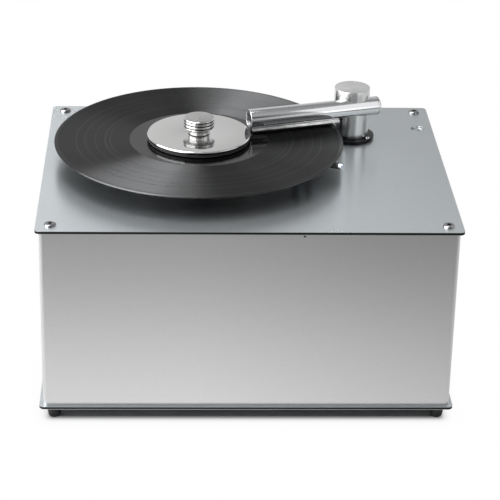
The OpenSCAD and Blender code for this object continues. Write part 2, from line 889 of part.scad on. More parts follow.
module tube_end_cap() {
    cap_t = 3.2;
    round_over = 2.4;
    spigot = 6;
    steps = 6;
    rim = [for (i = [0:steps]) let (a = 90 * i / steps)
        [tube_r - round_over + round_over * cos(a), cap_t - round_over + round_over * sin(a)]];
    color("silver") on_arm() translate([-tube_tail, tube_offset, tube_z]) rotate([0, -90, 0])
        rotate_extrude() polygon(concat(
            [[0, -spigot], [tube_r - tube_wall - press_gap, -spigot],
                [tube_r - tube_wall - press_gap, 0], [tube_r, 0]],
            rim, [[0, cap_t]]));
}

module lip_bar() {
    slot_inset = 2;
    color("gainsboro") on_arm() difference() {
        translate([lip_start, tube_offset - lip_w / 2, lip_low])
            cube([lip_end - lip_start, lip_w, lip_top - lip_low]);
        translate([velvet_start + slot_inset, tube_offset - slot_w / 2, lip_low - past])
            cube([velvet_end - velvet_start - 2 * slot_inset, slot_w,
                lip_top - lip_low + 2 * past]);
    }
}

module velvet_strips() {
    strip_w = 3.8;
    strip_out = slot_w / 2 + 0.3 + strip_w / 2;
    for (side = [-1, 1])
        color([0.05, 0.05, 0.05]) on_arm() translate([velvet_start,
            tube_offset + side * strip_out - strip_w / 2, velvet_low])
            cube([velvet_end - velvet_start, strip_w, velvet_t]);
}

module on_roller() {
    placed(spindle_x, spindle_y, 0) rotate(roller_angle) children();
}

module at_pegs() {
    for (y = [-peg_y, peg_y]) translate([(bracket_in + bracket_out) / 2, y, 0]) children();
}

// Two ears on a foot, held by two pegs through the top plate
module roller_bracket() {
    ear_top = roller_z + ear_over;
    color("black") on_roller() difference() {
        union() {
            translate([bracket_in, -ear_w / 2, deck]) cube([bracket_len, ear_w, bracket_base_t]);
            for (x = [bracket_in, bracket_out - ear_t])
                translate([x, -ear_w / 2, deck]) cube([ear_t, ear_w, ear_top - deck]);
            at_pegs() translate([0, 0, lid_under]) cylinder(r = m3_r, h = plate_t + past);
        }
        translate([bracket_in - past, 0, roller_z]) rod_x(axle_r + press_gap, bracket_len + 2 * past);
    }
}

module edge_roller() {
    color([0.1, 0.1, 0.1]) on_roller() translate([roller_in, 0, roller_z]) rotate([0, 90, 0])
        ring(roller_r, axle_r + run_gap, roller_w);
}

// The axle stands out past the rim, and its shoulder and polished end keep the roller in place
module roller_axle() {
    edge = 0.3;
    round_in = 0.35;
    round_over = 1.1;
    head_x = roller_out + move_gap;
    color("lightsteelblue") on_roller() translate([0, 0, roller_z]) {
        translate([bracket_in - past, 0, 0]) rod_x(axle_r, head_x - bracket_in + past + overlap);
        translate([bracket_out, 0, 0])
            rod_x(axle_shoulder_r, roller_in - move_gap - bracket_out);
        translate([head_x, 0, 0]) rotate([0, 90, 0]) rotate_extrude() polygon([
            [0, 0], [axle_head_r - edge, 0], [axle_head_r, edge],
            [axle_head_r, axle_head_t - round_over],
            [axle_head_r - round_in, axle_head_t - round_in],
            [axle_head_r - round_over, axle_head_t], [0, axle_head_t]]);
    }
}

// A flush plug with a dished recess, whose stem vents the tank's lid
module vent_plug() {
    rim = 0.8;
    recess_h = 2.4;
    dome_r = 4.6;
    dome_h = 1.9;
    dome_taper = 1.4;
    collar_h = 3;
    collar_over = 1.2;
    stem_wall = 1.5;
    stem_low = tank_top - 4;
    color("silver") placed(vent_x, vent_y, 0) difference() {
        union() {
            translate([0, 0, lid_under - overlap]) cylinder(r = vent_r, h = plate_t + overlap);
            translate([0, 0, lid_under - collar_h])
                cylinder(r = vent_r + collar_over, h = collar_h);
            translate([0, 0, stem_low]) cylinder(r = vent_stem_r, h = lid_under - stem_low);
        }
        difference() {
            translate([0, 0, deck - recess_h]) cylinder(r = vent_r - rim, h = recess_h + past);
            translate([0, 0, deck - recess_h - overlap])
                cylinder(r1 = dome_r, r2 = dome_r - dome_taper, h = dome_h);
        }
        translate([0, 0, stem_low - past])
            cylinder(r = vent_stem_r - stem_wall, h = lid_under - tank_top);
    }
}

module waste_tank() {
    port_out = 28;
    boss_r = valve_r + 2;
    color([0.8, 0.82, 0.84]) difference() {
        union() {
            placed(tank_left, tank_back - tank_d, base_top)
                cube([tank_w, tank_d, tank_h]);
            placed(tank_left - port_out, motor_y, hose_z) rod_x(hose_r, port_out + past);
            placed(drain_x, tank_back - past, drain_height)
                rod_y(boss_r, panel_back - sheet_t - tank_back + past);
        }
        placed(tank_left + tank_wall, tank_back - tank_d + tank_wall, base_top + tank_wall)
            cube([tank_w - 2 * tank_wall, tank_d - 2 * tank_wall, tank_h]);
        placed(tank_left - port_out - past, motor_y, hose_z)
            rod_x(hose_r - port_wall, port_out + tank_wall + 2 * past);
        placed(drain_x, tank_back - tank_wall - past, drain_height)
            rod_y(valve_bore_r, panel_back - tank_back + tank_wall);
        placed(drain_x, valve_seat_y, drain_height)
            rod_y(valve_neck_r + press_gap, panel_back - tank_back);
    }
}

module tank_lid() {
    boss_h = 9;
    boss_wall = 4;
    rim_t = 3;
    rim_in = tank_wall + press_gap;
    color([0.7, 0.72, 0.75]) difference() {
        union() {
            placed(tank_left, tank_back - tank_d, tank_top) cube([tank_w, tank_d, lid_t]);
            placed(tank_left + rim_in, tank_back - tank_d + rim_in, tank_top - rim_t)
                cube([tank_w - 2 * rim_in, tank_d - 2 * rim_in, rim_t + past]);
            placed(post_x, post_y, tank_top)
                cylinder(r = standpipe_r + boss_wall, h = lid_t + boss_h);
        }
        placed(post_x, post_y, tank_top - rim_t - past)
            cylinder(r = standpipe_r + press_gap, h = lid_t + boss_h + rim_t + 2 * past);
        placed(vent_x, vent_y, tank_top - rim_t - past)
            cylinder(r = vent_stem_r + press_gap, h = lid_t + rim_t + 2 * past);
    }
}

module suction_motor() {
    shaft_end_r = 12;
    waist = 4;
    band_h = 16;
    color("dimgray") placed(motor_x, motor_y, 0) {
        translate([0, 0, motor_low]) cylinder(r = motor_r - waist, h = motor_h);
        for (z = [motor_low + waist, motor_low + motor_h - waist - band_h])
            translate([0, 0, z]) cylinder(r = motor_r, h = band_h);
        translate([0, 0, motor_low - waist]) cylinder(r = shaft_end_r, h = waist + past);
    }
}

module fan_housing() {
    seam = 2;
    seam_over = 1.5;
    color("silver") placed(motor_x, motor_y, 0) {
        translate([0, 0, fan_low]) cylinder(r = fan_r, h = fan_h);
        translate([0, 0, fan_low + fan_h / 2 - seam])
            cylinder(r = fan_r + seam_over, h = 2 * seam);
    }
}

// Three rubber-sleeved pillars that carry the fan housing over the motor
module motor_feet() {
    leg_r = 5;
    leg_out = (motor_r + fan_r) / 2 + 1;
    color("black") for (a = [60:120:300]) placed(motor_x, motor_y, base_top)
        rotate(a) translate([leg_out, 0, 0])
            cylinder(r = leg_r, h = fan_low - base_top);
}

module suction_elbow() {
    wall = 4;
    spout = elbow_r + 32;
    color("gray") placed(motor_x, motor_y, 0) difference() {
        union() {
            translate([0, 0, fan_top]) cylinder(r = elbow_r, h = elbow_h);
            translate([0, 0, hose_z]) rod_x(hose_r, spout);
        }
        translate([0, 0, fan_top - past])
            cylinder(r = elbow_r - wall, h = elbow_h - elbow_roof + past);
        translate([0, 0, hose_z]) rod_x(hose_r - port_wall, spout + past);
    }
}

module suction_hose() {
    end_gap = 3;
    length = tank_left - end_gap - hose_x0;
    color("black") placed(hose_x0, motor_y, hose_z) rotate([0, 90, 0])
        ring(hose_r + hose_wall, hose_r + press_gap, length);
}

module gearbox_plate() {
    over = standoff_out + 7;
    hole_over = 5;
    color("silver") placed(spindle_x, spindle_y, gear_plate_low)
        ring(gearbox_r + over, output_r + hole_over, gear_plate_t);
}

module gearbox_standoffs() {
    color("goldenrod") for (a = [45:90:315]) placed(spindle_x, spindle_y, gear_plate_top)
        rotate(a) translate([gearbox_r + standoff_out, 0, 0])
            cylinder(r = standoff_r, h = standoff_h);
}

module gearbox() {
    color("gray") placed(spindle_x, spindle_y, 0) difference() {
        translate([0, 0, gearbox_low]) cylinder(r = gearbox_r, h = gearbox_h);
        translate([0, 0, gear_plate_low - output_inside - past])
            cylinder(r = output_r + run_gap, h = output_inside + 2 * past);
    }
}

module drive_motor() {
    color("dimgray") placed(spindle_x, spindle_y, drive_low) cylinder(r = drive_r, h = drive_h);
}

module run_capacitor() {
    tab_x = 5;
    tab_t = 1;
    tab_w = 6;
    tab_h = 8;
    color("white") placed(capacitor_x, capacitor_y, base_top) {
        cylinder(r = capacitor_r, h = capacitor_h);
        for (x = [-tab_x, tab_x])
            translate([x - tab_t / 2, -tab_w / 2, capacitor_h - past])
                cube([tab_t, tab_w, tab_h + past]);
    }
}

module capacitor_clip() {
    clip_z = 20;
    clip_h = 14;
    strap_t = 1.6;
    strap_w = 14;
    strap_y = capacitor_r + strap_t / 2;
    color("silver") placed(capacitor_x, capacitor_y, base_top) {
        translate([0, 0, clip_z]) ring(capacitor_r + strap_t, capacitor_r + press_gap, clip_h);
        difference() {
            translate([-strap_w / 2, strap_y, 0]) cube([strap_w, strap_t, clip_z + clip_h]);
            translate([0, 0, -past])
                cylinder(r = capacitor_r + press_gap, h = clip_z + clip_h + 2 * past);
        }
        translate([-strap_w / 2, strap_y, 0]) cube([strap_w, strap_w, strap_t]);
    }
}

module terminal_block() {
    pitch = terminal_w / terminal_ways;
    hole_r = 2.2;
    hole_depth = 7;
    edge = 4.5;
    color("ivory") placed(terminal_x, terminal_y, base_top) difference() {
        cube([terminal_w, terminal_d, terminal_h]);
        for (i = [0:terminal_ways - 1], y = [edge, terminal_d - edge])
            translate([pitch * (i + 0.5), y, terminal_h - hole_depth])
                cylinder(r = hole_r, h = hole_depth + past);
    }
}

// Two snap-in housings, each with a round pocket about its rocker's pivot
module switch_housings() {
    pocket_gap = move_gap + 0.1;
    color([0.1, 0.1, 0.1]) for (y = switch_ys) placed(0, y, base_top + switch_z) difference() {
        union() {
            translate([panel_face_x - switch_depth, -switch_body_w / 2, -switch_body_h / 2])
                cube([switch_depth, switch_body_w, switch_body_h]);
            translate([panel_face_x, -switch_body_w / 2 - bezel_over,
                -switch_body_h / 2 - bezel_over])
                cube([bezel_t, switch_body_w + 2 * bezel_over, switch_body_h + 2 * bezel_over]);
        }
        translate([pivot_x, -rocker_w / 2 - move_gap, 0])
            rod_y(rocker_r + pocket_gap, rocker_w + 2 * move_gap);
        translate([pivot_x, -switch_body_w / 2 - past, 0]) rod_y(rocker_pin_r + run_gap,
            switch_body_w + 2 * past);
    }
}

// A rocker with a shallow V face, tilted about its own pin
module rocker(tilt) {
    valley = 3.4;
    end_gap = 0.2;
    face_end = rocker_r * cos(50);
    back = -rocker_r * 0.35;
    translate([pivot_x, 0, 0]) rotate([0, tilt, 0]) {
        rotate([90, 0, 0]) translate([0, 0, -rocker_w / 2]) linear_extrude(rocker_w)
            intersection() {
                circle(r = rocker_r);
                polygon([[back, -rocker_r], [face_end, -rocker_r], [valley, 0],
                    [face_end, rocker_r], [back, rocker_r]]);
            }
        translate([0, end_gap - switch_body_w / 2, 0])
            rod_y(rocker_pin_r, switch_body_w - 2 * end_gap);
    }
}

module direction_rocker() {
    color([0.15, 0.15, 0.15]) placed(0, switch_ys[0], base_top + switch_z) rocker(0);
}

module vacuum_rocker() {
    color([0.15, 0.15, 0.15]) placed(0, switch_ys[1], base_top + switch_z) rocker(rocker_tilt);
}

module mains_inlet() {
    pin_len = 11;
    pin_w = 2;
    pin_h = 4;
    pin_x = 7;
    pin_z = 2;
    pin_foot = inlet_rim_t - inlet_cavity_depth - overlap;
    color([0.1, 0.1, 0.1]) placed(inlet_x, panel_back, base_top + inlet_z) {
        difference() {
            union() {
                translate([-inlet_w / 2, -inlet_depth, -inlet_h / 2])
                    cube([inlet_w, inlet_depth + past, inlet_h]);
                translate([-inlet_w / 2 - inlet_rim, 0, -inlet_h / 2 - inlet_rim])
                    cube([inlet_w + 2 * inlet_rim, inlet_rim_t, inlet_h + 2 * inlet_rim]);
            }
            translate([-inlet_cavity_w / 2, inlet_rim_t - inlet_cavity_depth, -inlet_cavity_h / 2])
                cube([inlet_cavity_w, inlet_cavity_depth + past, inlet_cavity_h]);
        }
        for (p = [[-pin_x, -pin_z], [0, pin_z], [pin_x, -pin_z]])
            translate([p[0] - pin_w / 2, pin_foot, p[1] - pin_h / 2])
                cube([pin_w, pin_len, pin_h]);
    }
}

// Valve body and spigot in one, screwed through the panel into the tank's boss
module drain_valve() {
    boss_y = valve_seat_y + press_gap;
    spigot_y = panel_back + valve_len;
    gland_over = 2.5;
    gland_h = valve_r + 2;
    color("silver") placed(drain_x, 0, drain_height) difference() {
        union() {
            translate([0, boss_y, 0]) rod_y(valve_neck_r, panel_back - boss_y + past);
            translate([0, panel_back, 0]) rod_y(valve_r, valve_len);
            translate([0, spigot_y - past, 0]) rod_y(spigot_r, spigot_len + past);
            translate([0, ball_y, 0]) cylinder(r = stem_r + gland_over, h = gland_h);
        }
        translate([0, boss_y - past, 0]) rod_y(valve_bore_r, reach_back - boss_y + 2 * past);
        translate([0, ball_y, 0]) sphere(r = ball_r + run_gap);
        translate([0, ball_y, 0]) cylinder(r = stem_r + run_gap, h = gland_h + past);
    }
}

// The bored ball, its stem and the handle turn as one; the bore lies across when shut
module drain_lever() {
    grip_r = lever_w / 2;
    eye_r = grip_r + 1;
    color("red") placed(drain_x, ball_y, 0) {
        translate([0, 0, drain_height]) difference() {
            sphere(r = ball_r);
            translate([-ball_r - past, 0, 0]) rod_x(valve_bore_r, 2 * ball_r + 2 * past);
        }
        translate([0, 0, drain_height + ball_r - past])
            cylinder(r = stem_r, h = lever_z + lever_t - drain_height - ball_r + past);
        translate([0, 0, lever_z]) cylinder(r = eye_r, h = lever_t);
        translate([-lever_len, -lever_w / 2, lever_z]) cube([lever_len, lever_w, lever_t]);
        translate([-lever_len, 0, lever_z]) cylinder(r = grip_r, h = lever_t);
    }
}

base_plate();
top_plate();
wrap_panel();
rear_panel();
corner_posts();
top_screws();
feet();
foot_studs();
rear_screws();
bearing_housing();
bearing_bush();
bearing_screws();
spindle_shaft();
shaft_coupling();
motor_output_shaft();
platter();
platter_mat();
record();
clamp_gasket();
clamp_disc();
clamp_knob();
clamp_insert();
arm_flange();
flange_screws();
standpipe();
lift_spring();
thrust_collar();
arm_bush();
arm_post();
arm_head();
head_screws();
suction_tube();
tube_plug();
tube_end_cap();
lip_bar();
velvet_strips();
roller_bracket();
edge_roller();
roller_axle();
vent_plug();
waste_tank();
tank_lid();
suction_motor();
fan_housing();
motor_feet();
suction_elbow();
suction_hose();
gearbox_plate();
gearbox_standoffs();
gearbox();
drive_motor();
run_capacitor();
capacitor_clip();
terminal_block();
switch_housings();
direction_rocker();
vacuum_rocker();
mains_inlet();
drain_valve();
drain_lever();
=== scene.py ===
# %% [markdown]
# A record cleaning machine is a metal box with a turntable on top. A hollow arm swings over
# the wet record and sucks it dry. This lesson dresses its CAD frame: the plates, panels and
# inner works stay as they are and get finishes, and the turned and rounded pieces that catch
# the light are modelled afresh.

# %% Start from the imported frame
import math

import bmesh
import bpy
from mathutils import Matrix, Vector


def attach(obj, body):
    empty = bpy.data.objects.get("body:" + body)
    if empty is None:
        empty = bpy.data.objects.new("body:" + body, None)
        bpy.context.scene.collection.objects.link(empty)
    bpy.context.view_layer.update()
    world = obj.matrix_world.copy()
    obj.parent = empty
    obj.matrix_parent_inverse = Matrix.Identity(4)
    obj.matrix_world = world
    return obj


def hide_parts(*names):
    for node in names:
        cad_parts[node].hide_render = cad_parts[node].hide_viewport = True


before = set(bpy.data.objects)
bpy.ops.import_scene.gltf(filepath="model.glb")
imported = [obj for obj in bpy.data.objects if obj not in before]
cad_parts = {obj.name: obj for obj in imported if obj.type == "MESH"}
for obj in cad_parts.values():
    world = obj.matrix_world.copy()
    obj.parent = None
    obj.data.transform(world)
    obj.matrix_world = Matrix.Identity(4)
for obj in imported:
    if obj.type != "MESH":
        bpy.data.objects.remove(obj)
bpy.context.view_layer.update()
print("the frame has", len(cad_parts), "nodes")

# %% [markdown]
# Lengths are easier to read in millimetres, so one helper turns a place on the machine into
# the frame's metres. It counts back from the plates' front edge and up from the floor.

# %% Places on the machine
MM = 0.001
MIDDLE_Y = 183.2
DECK = 213.0
SPINDLE = (-48.0, 179.0)
POST = (117.0, 244.0)
ARM_TURN = math.radians(196.4)


def at(x, y, z):
    return Vector((x * MM, (y - MIDDLE_Y) * MM, z * MM))


print("spindle at", tuple(at(*SPINDLE, DECK)))

# %% [markdown]
# The camera looks slightly down on the front, a little from the left, through a long lens. Its
# place and tilt were fitted to the plates' corners and the record's rim.

# %% Camera
CAMERA_PITCH = -0.4290
CAMERA_YAW = -0.0306
CAMERA_ROLL = 0.0163
look = Vector((-math.sin(CAMERA_YAW) * math.cos(CAMERA_PITCH),
               math.cos(CAMERA_YAW) * math.cos(CAMERA_PITCH), math.sin(CAMERA_PITCH)))
level_right = Vector((math.cos(CAMERA_YAW), math.sin(CAMERA_YAW), 0))
level_up = level_right.cross(look)
right = math.cos(CAMERA_ROLL) * level_right + math.sin(CAMERA_ROLL) * level_up
up = -math.sin(CAMERA_ROLL) * level_right + math.cos(CAMERA_ROLL) * level_up
lens = bpy.data.cameras.new("camera")
lens.lens = 137.88
lens.sensor_width = 36
lens.shift_x = 0.0538
lens.shift_y = -0.0782
camera = bpy.data.objects.new("camera", lens)
bpy.context.scene.collection.objects.link(camera)
axes = Matrix((right, up, -look)).transposed().to_4x4()
camera.matrix_world = Matrix.Translation(at(-78.18, -1673.81, 788.53 + DECK)) @ axes
bpy.context.scene.camera = camera
print("camera at", tuple(round(v, 3) for v in camera.location))

# %% [markdown]
# A material here is a short chain of nodes. These helpers make a node, join two sockets and
# turn a noise or a wave into bump, so that each finish below stays a few lines long.

# %% Material helpers
scene = bpy.context.scene
scene.view_settings.view_transform = "Standard"
BOUNCED_LIGHT_LIMIT = 1.2
scene.cycles.sample_clamp_indirect = BOUNCED_LIGHT_LIMIT


def new_material(name, **inputs):
    material = bpy.data.materials.new(name)
    material.use_nodes = True
    shader = material.node_tree.nodes["Principled BSDF"]
    for key, value in inputs.items():
        shader.inputs[key.replace("_", " ")].default_value = value
    return material, material.node_tree, shader


def add(tree, kind, **settings):
    node = tree.nodes.new(kind)
    for key, value in settings.items():
        if key in node.inputs:
            node.inputs[key].default_value = value
        else:
            setattr(node, key, value)
    return node


def coordinates(tree, scale=(1, 1, 1), centre=(0, 0, 0)):
    source = add(tree, "ShaderNodeTexCoord")
    mapping = add(tree, "ShaderNodeMapping")
    mapping.vector_type = "POINT"
    mapping.inputs["Scale"].default_value = scale
    mapping.inputs["Location"].default_value = [-c * s for c, s in zip(centre, scale)]
    tree.links.new(source.outputs["Object"], mapping.inputs["Vector"])
    return mapping.outputs["Vector"]


def noise(tree, vector, scale, detail=3.0, roughness=0.5):
    node = add(tree, "ShaderNodeTexNoise", Scale=scale, Detail=detail, Roughness=roughness)
    tree.links.new(vector, node.inputs["Vector"])
    return node.outputs["Fac"]


def ramp(tree, value, low, high, start=0.0, end=1.0):
    node = add(tree, "ShaderNodeValToRGB")
    node.color_ramp.elements[0].position = start
    node.color_ramp.elements[1].position = end
    node.color_ramp.elements[0].color = (*low, 1)
    node.color_ramp.elements[1].color = (*high, 1)
    tree.links.new(value, node.inputs["Fac"])
    return node.outputs["Color"]


def spread(tree, value, low, high):
    node = add(tree, "ShaderNodeMapRange")
    node.inputs["To Min"].default_value = low
    node.inputs["To Max"].default_value = high
    tree.links.new(value, node.inputs["Value"])
    return node.outputs["Result"]


def bump(tree, shader, height, strength, distance):
    node = add(tree, "ShaderNodeBump", Strength=strength, Distance=distance)
    tree.links.new(height, node.inputs["Height"])
    tree.links.new(node.outputs["Normal"], shader.inputs["Normal"])


def tint_where(tree, mask, tint, blend="MIX"):
    shader = tree.nodes["Principled BSDF"]
    tinted = add(tree, "ShaderNodeMixRGB", blend_type=blend)
    tree.links.new(mask, tinted.inputs["Fac"])
    tree.links.new(shader.inputs["Base Color"].links[0].from_socket, tinted.inputs[1])
    tinted.inputs[2].default_value = (tint, tint, tint, 1)
    tree.links.new(tinted.outputs["Color"], shader.inputs["Base Color"])


def along_outline(tree, shader, flat):
    out = add(tree, "ShaderNodeVectorTransform", vector_type="VECTOR", convert_from="OBJECT",
              convert_to="WORLD")
    tree.links.new(flat, out.inputs["Vector"])
    ring = add(tree, "ShaderNodeVectorMath", operation="CROSS_PRODUCT")
    ring.inputs[0].default_value = (0, 0, 1)
    tree.links.new(out.outputs["Vector"], ring.inputs[1])
    surface = add(tree, "ShaderNodeNewGeometry")
    outline = add(tree, "ShaderNodeVectorMath", operation="CROSS_PRODUCT")
    tree.links.new(ring.outputs["Vector"], outline.inputs[0])
    tree.links.new(surface.outputs["Normal"], outline.inputs[1])
    unit = add(tree, "ShaderNodeVectorMath", operation="NORMALIZE")
    tree.links.new(outline.outputs["Vector"], unit.inputs[0])
    tree.links.new(unit.outputs["Vector"], shader.inputs["Tangent"])


print("material helpers are ready")

# %% [markdown]
# Metal shows what is around it, so the room matters as much as the lamps. This one is a
# product photographer's tent: a pale backdrop low down behind, a greyer ceiling, a white screen
# on the left and an unlit gap in front, where the camera stands. One large bright lamp leans
# over the machine from the left. Its straight edge over the middle draws the sharp fan of light
# across the record's grooves.

# %% Room helpers


def fade_between(tree, value, low, high):
    node = add(tree, "ShaderNodeMapRange", interpolation_type="SMOOTHSTEP")
    node.inputs["From Min"].default_value = low
    node.inputs["From Max"].default_value = high
    tree.links.new(value, node.inputs["Value"])
    return node.outputs["Result"]


def times(tree, first, second):
    node = add(tree, "ShaderNodeMath", operation="MULTIPLY")
    tree.links.new(first, node.inputs[0])
    if isinstance(second, float):
        node.inputs[1].default_value = second
    else:
        tree.links.new(second, node.inputs[1])
    return node.outputs["Value"]


def grey_stops(tree, value, stops):
    node = add(tree, "ShaderNodeValToRGB")
    while len(node.color_ramp.elements) < len(stops):
        node.color_ramp.elements.new(0.5)
    for element, (place, grey) in zip(node.color_ramp.elements, stops):
        element.position = place
        element.color = (grey, grey, grey, 1)
    tree.links.new(value, node.inputs["Fac"])
    return node.outputs["Color"]


def part_of_turn(tree, upper, lower, part):
    angle = add(tree, "ShaderNodeMath", operation="ARCTAN2")
    tree.links.new(upper, angle.inputs[0])
    tree.links.new(lower, angle.inputs[1])
    share = add(tree, "ShaderNodeMath", operation="DIVIDE")
    share.inputs[1].default_value = part
    tree.links.new(angle.outputs["Value"], share.inputs[0])
    return share.outputs["Value"]


print("room helpers are ready")

# %% [markdown]
# One row of tones runs over the room from the backdrop behind to the screen in front, and a
# second row runs round it at the height of the machine. The two are mixed by height.

# %% Room
world = bpy.data.worlds.new("studio")
scene.world = world
world.use_nodes = True
room = world.node_tree
room.nodes.clear()
direction = add(room, "ShaderNodeTexCoord")
parts = add(room, "ShaderNodeSeparateXYZ")
room.links.new(direction.outputs["Generated"], parts.inputs["Vector"])
OVER_TONES = ((0.0, 0.70), (0.10, 0.70), (0.17, 0.66), (0.23, 0.34), (0.35, 0.30), (0.50, 0.34),
              (0.62, 0.42), (0.75, 0.50), (1.0, 0.56))
over = grey_stops(room, part_of_turn(room, parts.outputs["Z"], parts.outputs["Y"], math.pi),
                  OVER_TONES)
ROUND_TONES = ((0.0, 0.72), (0.03, 0.80), (0.12, 0.80), (0.19, 0.6), (0.40, 0.5), (0.46, 0.4),
               (0.485, 0.12), (0.56, 0.10), (0.60, 0.42), (0.72, 0.40), (0.80, 0.34), (0.86, 0.9),
               (0.91, 1.1), (0.94, 0.62), (0.97, 0.60), (1.0, 0.72))
back_first = add(room, "ShaderNodeMath", operation="ADD")
back_first.inputs[1].default_value = 0.5
towards_front = add(room, "ShaderNodeMath", operation="MULTIPLY")
towards_front.inputs[1].default_value = -1.0
room.links.new(parts.outputs["Y"], towards_front.inputs[0])
room.links.new(part_of_turn(room, parts.outputs["X"], towards_front.outputs["Value"], math.tau),
               back_first.inputs[0])
round_tones = grey_stops(room, back_first.outputs["Value"], ROUND_TONES)
both_rows = add(room, "ShaderNodeMixRGB", blend_type="MIX")
room.links.new(fade_between(room, parts.outputs["Z"], 0.85, 0.45), both_rows.inputs["Fac"])
room.links.new(over, both_rows.inputs[1])
room.links.new(round_tones, both_rows.inputs[2])


def below_plane(tree, slopes, soft, offset=0.0):
    across = add(tree, "ShaderNodeVectorMath", operation="DOT_PRODUCT")
    across.inputs[1].default_value = slopes
    tree.links.new(direction.outputs["Generated"], across.inputs[0])
    return fade_between(tree, across.outputs["Value"], offset + soft, offset - soft)


BIG_LAMP = 7.0
big_lamp = times(room, below_plane(room, (1.0, 0.0, 0.0), 0.01, 0.04),
                 below_plane(room, (0.83, -0.56, 0.0), 0.04))
big_lamp = times(room, big_lamp, below_plane(room, (0.20, 1.0, -0.30), 0.08))
big_lamp = times(room, big_lamp, below_plane(room, (0.0, 0.0, -1.0), 0.05))
big_lamp = times(room, big_lamp, BIG_LAMP)
FRONT_CARD = 0.35
front_card = times(room, below_plane(room, (0.0, 0.0, 1.0), 0.05, 0.27),
                   below_plane(room, (0.0, 1.0, 0.0), 0.1, -0.6))
front_card = times(room, front_card, FRONT_CARD)
cards = add(room, "ShaderNodeMath", operation="ADD")
room.links.new(big_lamp, cards.inputs[0])
room.links.new(front_card, cards.inputs[1])
brighter = add(room, "ShaderNodeMixRGB", blend_type="ADD")
brighter.inputs["Fac"].default_value = 1.0
room.links.new(both_rows.outputs["Color"], brighter.inputs[1])
room.links.new(cards.outputs["Value"], brighter.inputs[2])
seen = add(room, "ShaderNodeBackground", Strength=1.0)
room.links.new(brighter.outputs["Color"], seen.inputs["Color"])
lit = add(room, "ShaderNodeBackground", Strength=1.1)
room.links.new(fade_between(room, parts.outputs["Z"], 0.45, 0.9), lit.inputs["Color"])
rays = add(room, "ShaderNodeLightPath")
any_seen = add(room, "ShaderNodeMath", operation="MAXIMUM")
all_seen = add(room, "ShaderNodeMath", operation="MAXIMUM")
room.links.new(rays.outputs["Is Camera Ray"], any_seen.inputs[0])
room.links.new(rays.outputs["Is Glossy Ray"], any_seen.inputs[1])
room.links.new(any_seen.outputs["Value"], all_seen.inputs[0])
room.links.new(rays.outputs["Is Transmission Ray"], all_seen.inputs[1])
choice = add(room, "ShaderNodeMixShader")
room.links.new(all_seen.outputs["Value"], choice.inputs["Fac"])
room.links.new(lit.outputs["Background"], choice.inputs[1])
room.links.new(seen.outputs["Background"], choice.inputs[2])
room_out = add(room, "ShaderNodeOutputWorld")
room.links.new(choice.outputs["Shader"], room_out.inputs["Surface"])
print("the room has", len(OVER_TONES), "tones over it and", len(ROUND_TONES), "round it")

# %% [markdown]
# Three soft boxes light the machine for its shadows and dull parts. The polished parts show the
# tent instead, so these boxes stay out of reflections, as lamps behind a screen do. A small
# fourth one stands by the right side and shows in the polished parts only.

# %% Lamps


def soft_box(name, place, target, width, height, power):
    light = bpy.data.lights.new(name, "AREA")
    light.shape = "RECTANGLE"
    light.size = width
    light.size_y = height
    light.energy = power
    lamp = bpy.data.objects.new(name, light)
    scene.collection.objects.link(lamp)
    lamp.location = place
    lamp.rotation_euler = (Vector(target) - Vector(place)).to_track_quat("-Z", "Y").to_euler()
    lamp.visible_glossy = False
    lamp.visible_diffuse = True
    return lamp


soft_box("overhead_box", (0.1, 0.3, 1.9), (0, 0, 0.1), 1.6, 1.2, 14)
soft_box("left_box", (-0.9, -0.5, 1.7), (0, 0, 0.2), 0.5, 0.7, 4)
soft_box("right_box", (0.8, -0.4, 1.6), (0, 0, 0.2), 0.35, 0.7, 2)
side_card = soft_box("side_card", at(330, 80, 400), at(117, 244, 300), 0.264, 0.40, 0.20)
side_card.visible_glossy = True
side_card.visible_diffuse = False

# %% [markdown]
# The floor runs out past the picture on every side. Under and close to the machine it is an
# ordinary pale floor with its shadow, and further off it turns to the white of the backdrop.
# In reflections it glows instead, as painted light: palest near the machine, and darker where
# the light falls away in front and towards the right.

# %% Floor
mesh = bpy.data.meshes.new("floor")
shape = bmesh.new()
bmesh.ops.create_grid(shape, x_segments=1, y_segments=1, size=4.0)
bmesh.ops.translate(shape, verts=shape.verts, vec=(0, 2.0, -0.0002))
shape.to_mesh(mesh)
shape.free()
floor = bpy.data.objects.new("floor", mesh)
scene.collection.objects.link(floor)
paper, tree, shader = new_material("paper_floor", Roughness=0.9)
shader.inputs["Base Color"].default_value = (0.48, 0.48, 0.48, 1)
shader.inputs["Specular IOR Level"].default_value = 0.1
rays = add(tree, "ShaderNodeLightPath")
place = add(tree, "ShaderNodeSeparateXYZ")
tree.links.new(coordinates(tree), place.inputs["Vector"])


def past_edge(coordinate, centre, half):
    middle = add(tree, "ShaderNodeMath", operation="SUBTRACT")
    middle.inputs[1].default_value = centre
    tree.links.new(place.outputs[coordinate], middle.inputs[0])
    away = add(tree, "ShaderNodeMath", operation="ABSOLUTE")
    tree.links.new(middle.outputs["Value"], away.inputs[0])
    beyond = add(tree, "ShaderNodeMath", operation="SUBTRACT")
    beyond.inputs[1].default_value = half
    tree.links.new(away.outputs["Value"], beyond.inputs[0])
    outside = add(tree, "ShaderNodeMath", operation="MAXIMUM")
    outside.inputs[1].default_value = 0.0
    tree.links.new(beyond.outputs["Value"], outside.inputs[0])
    return outside.outputs["Value"]


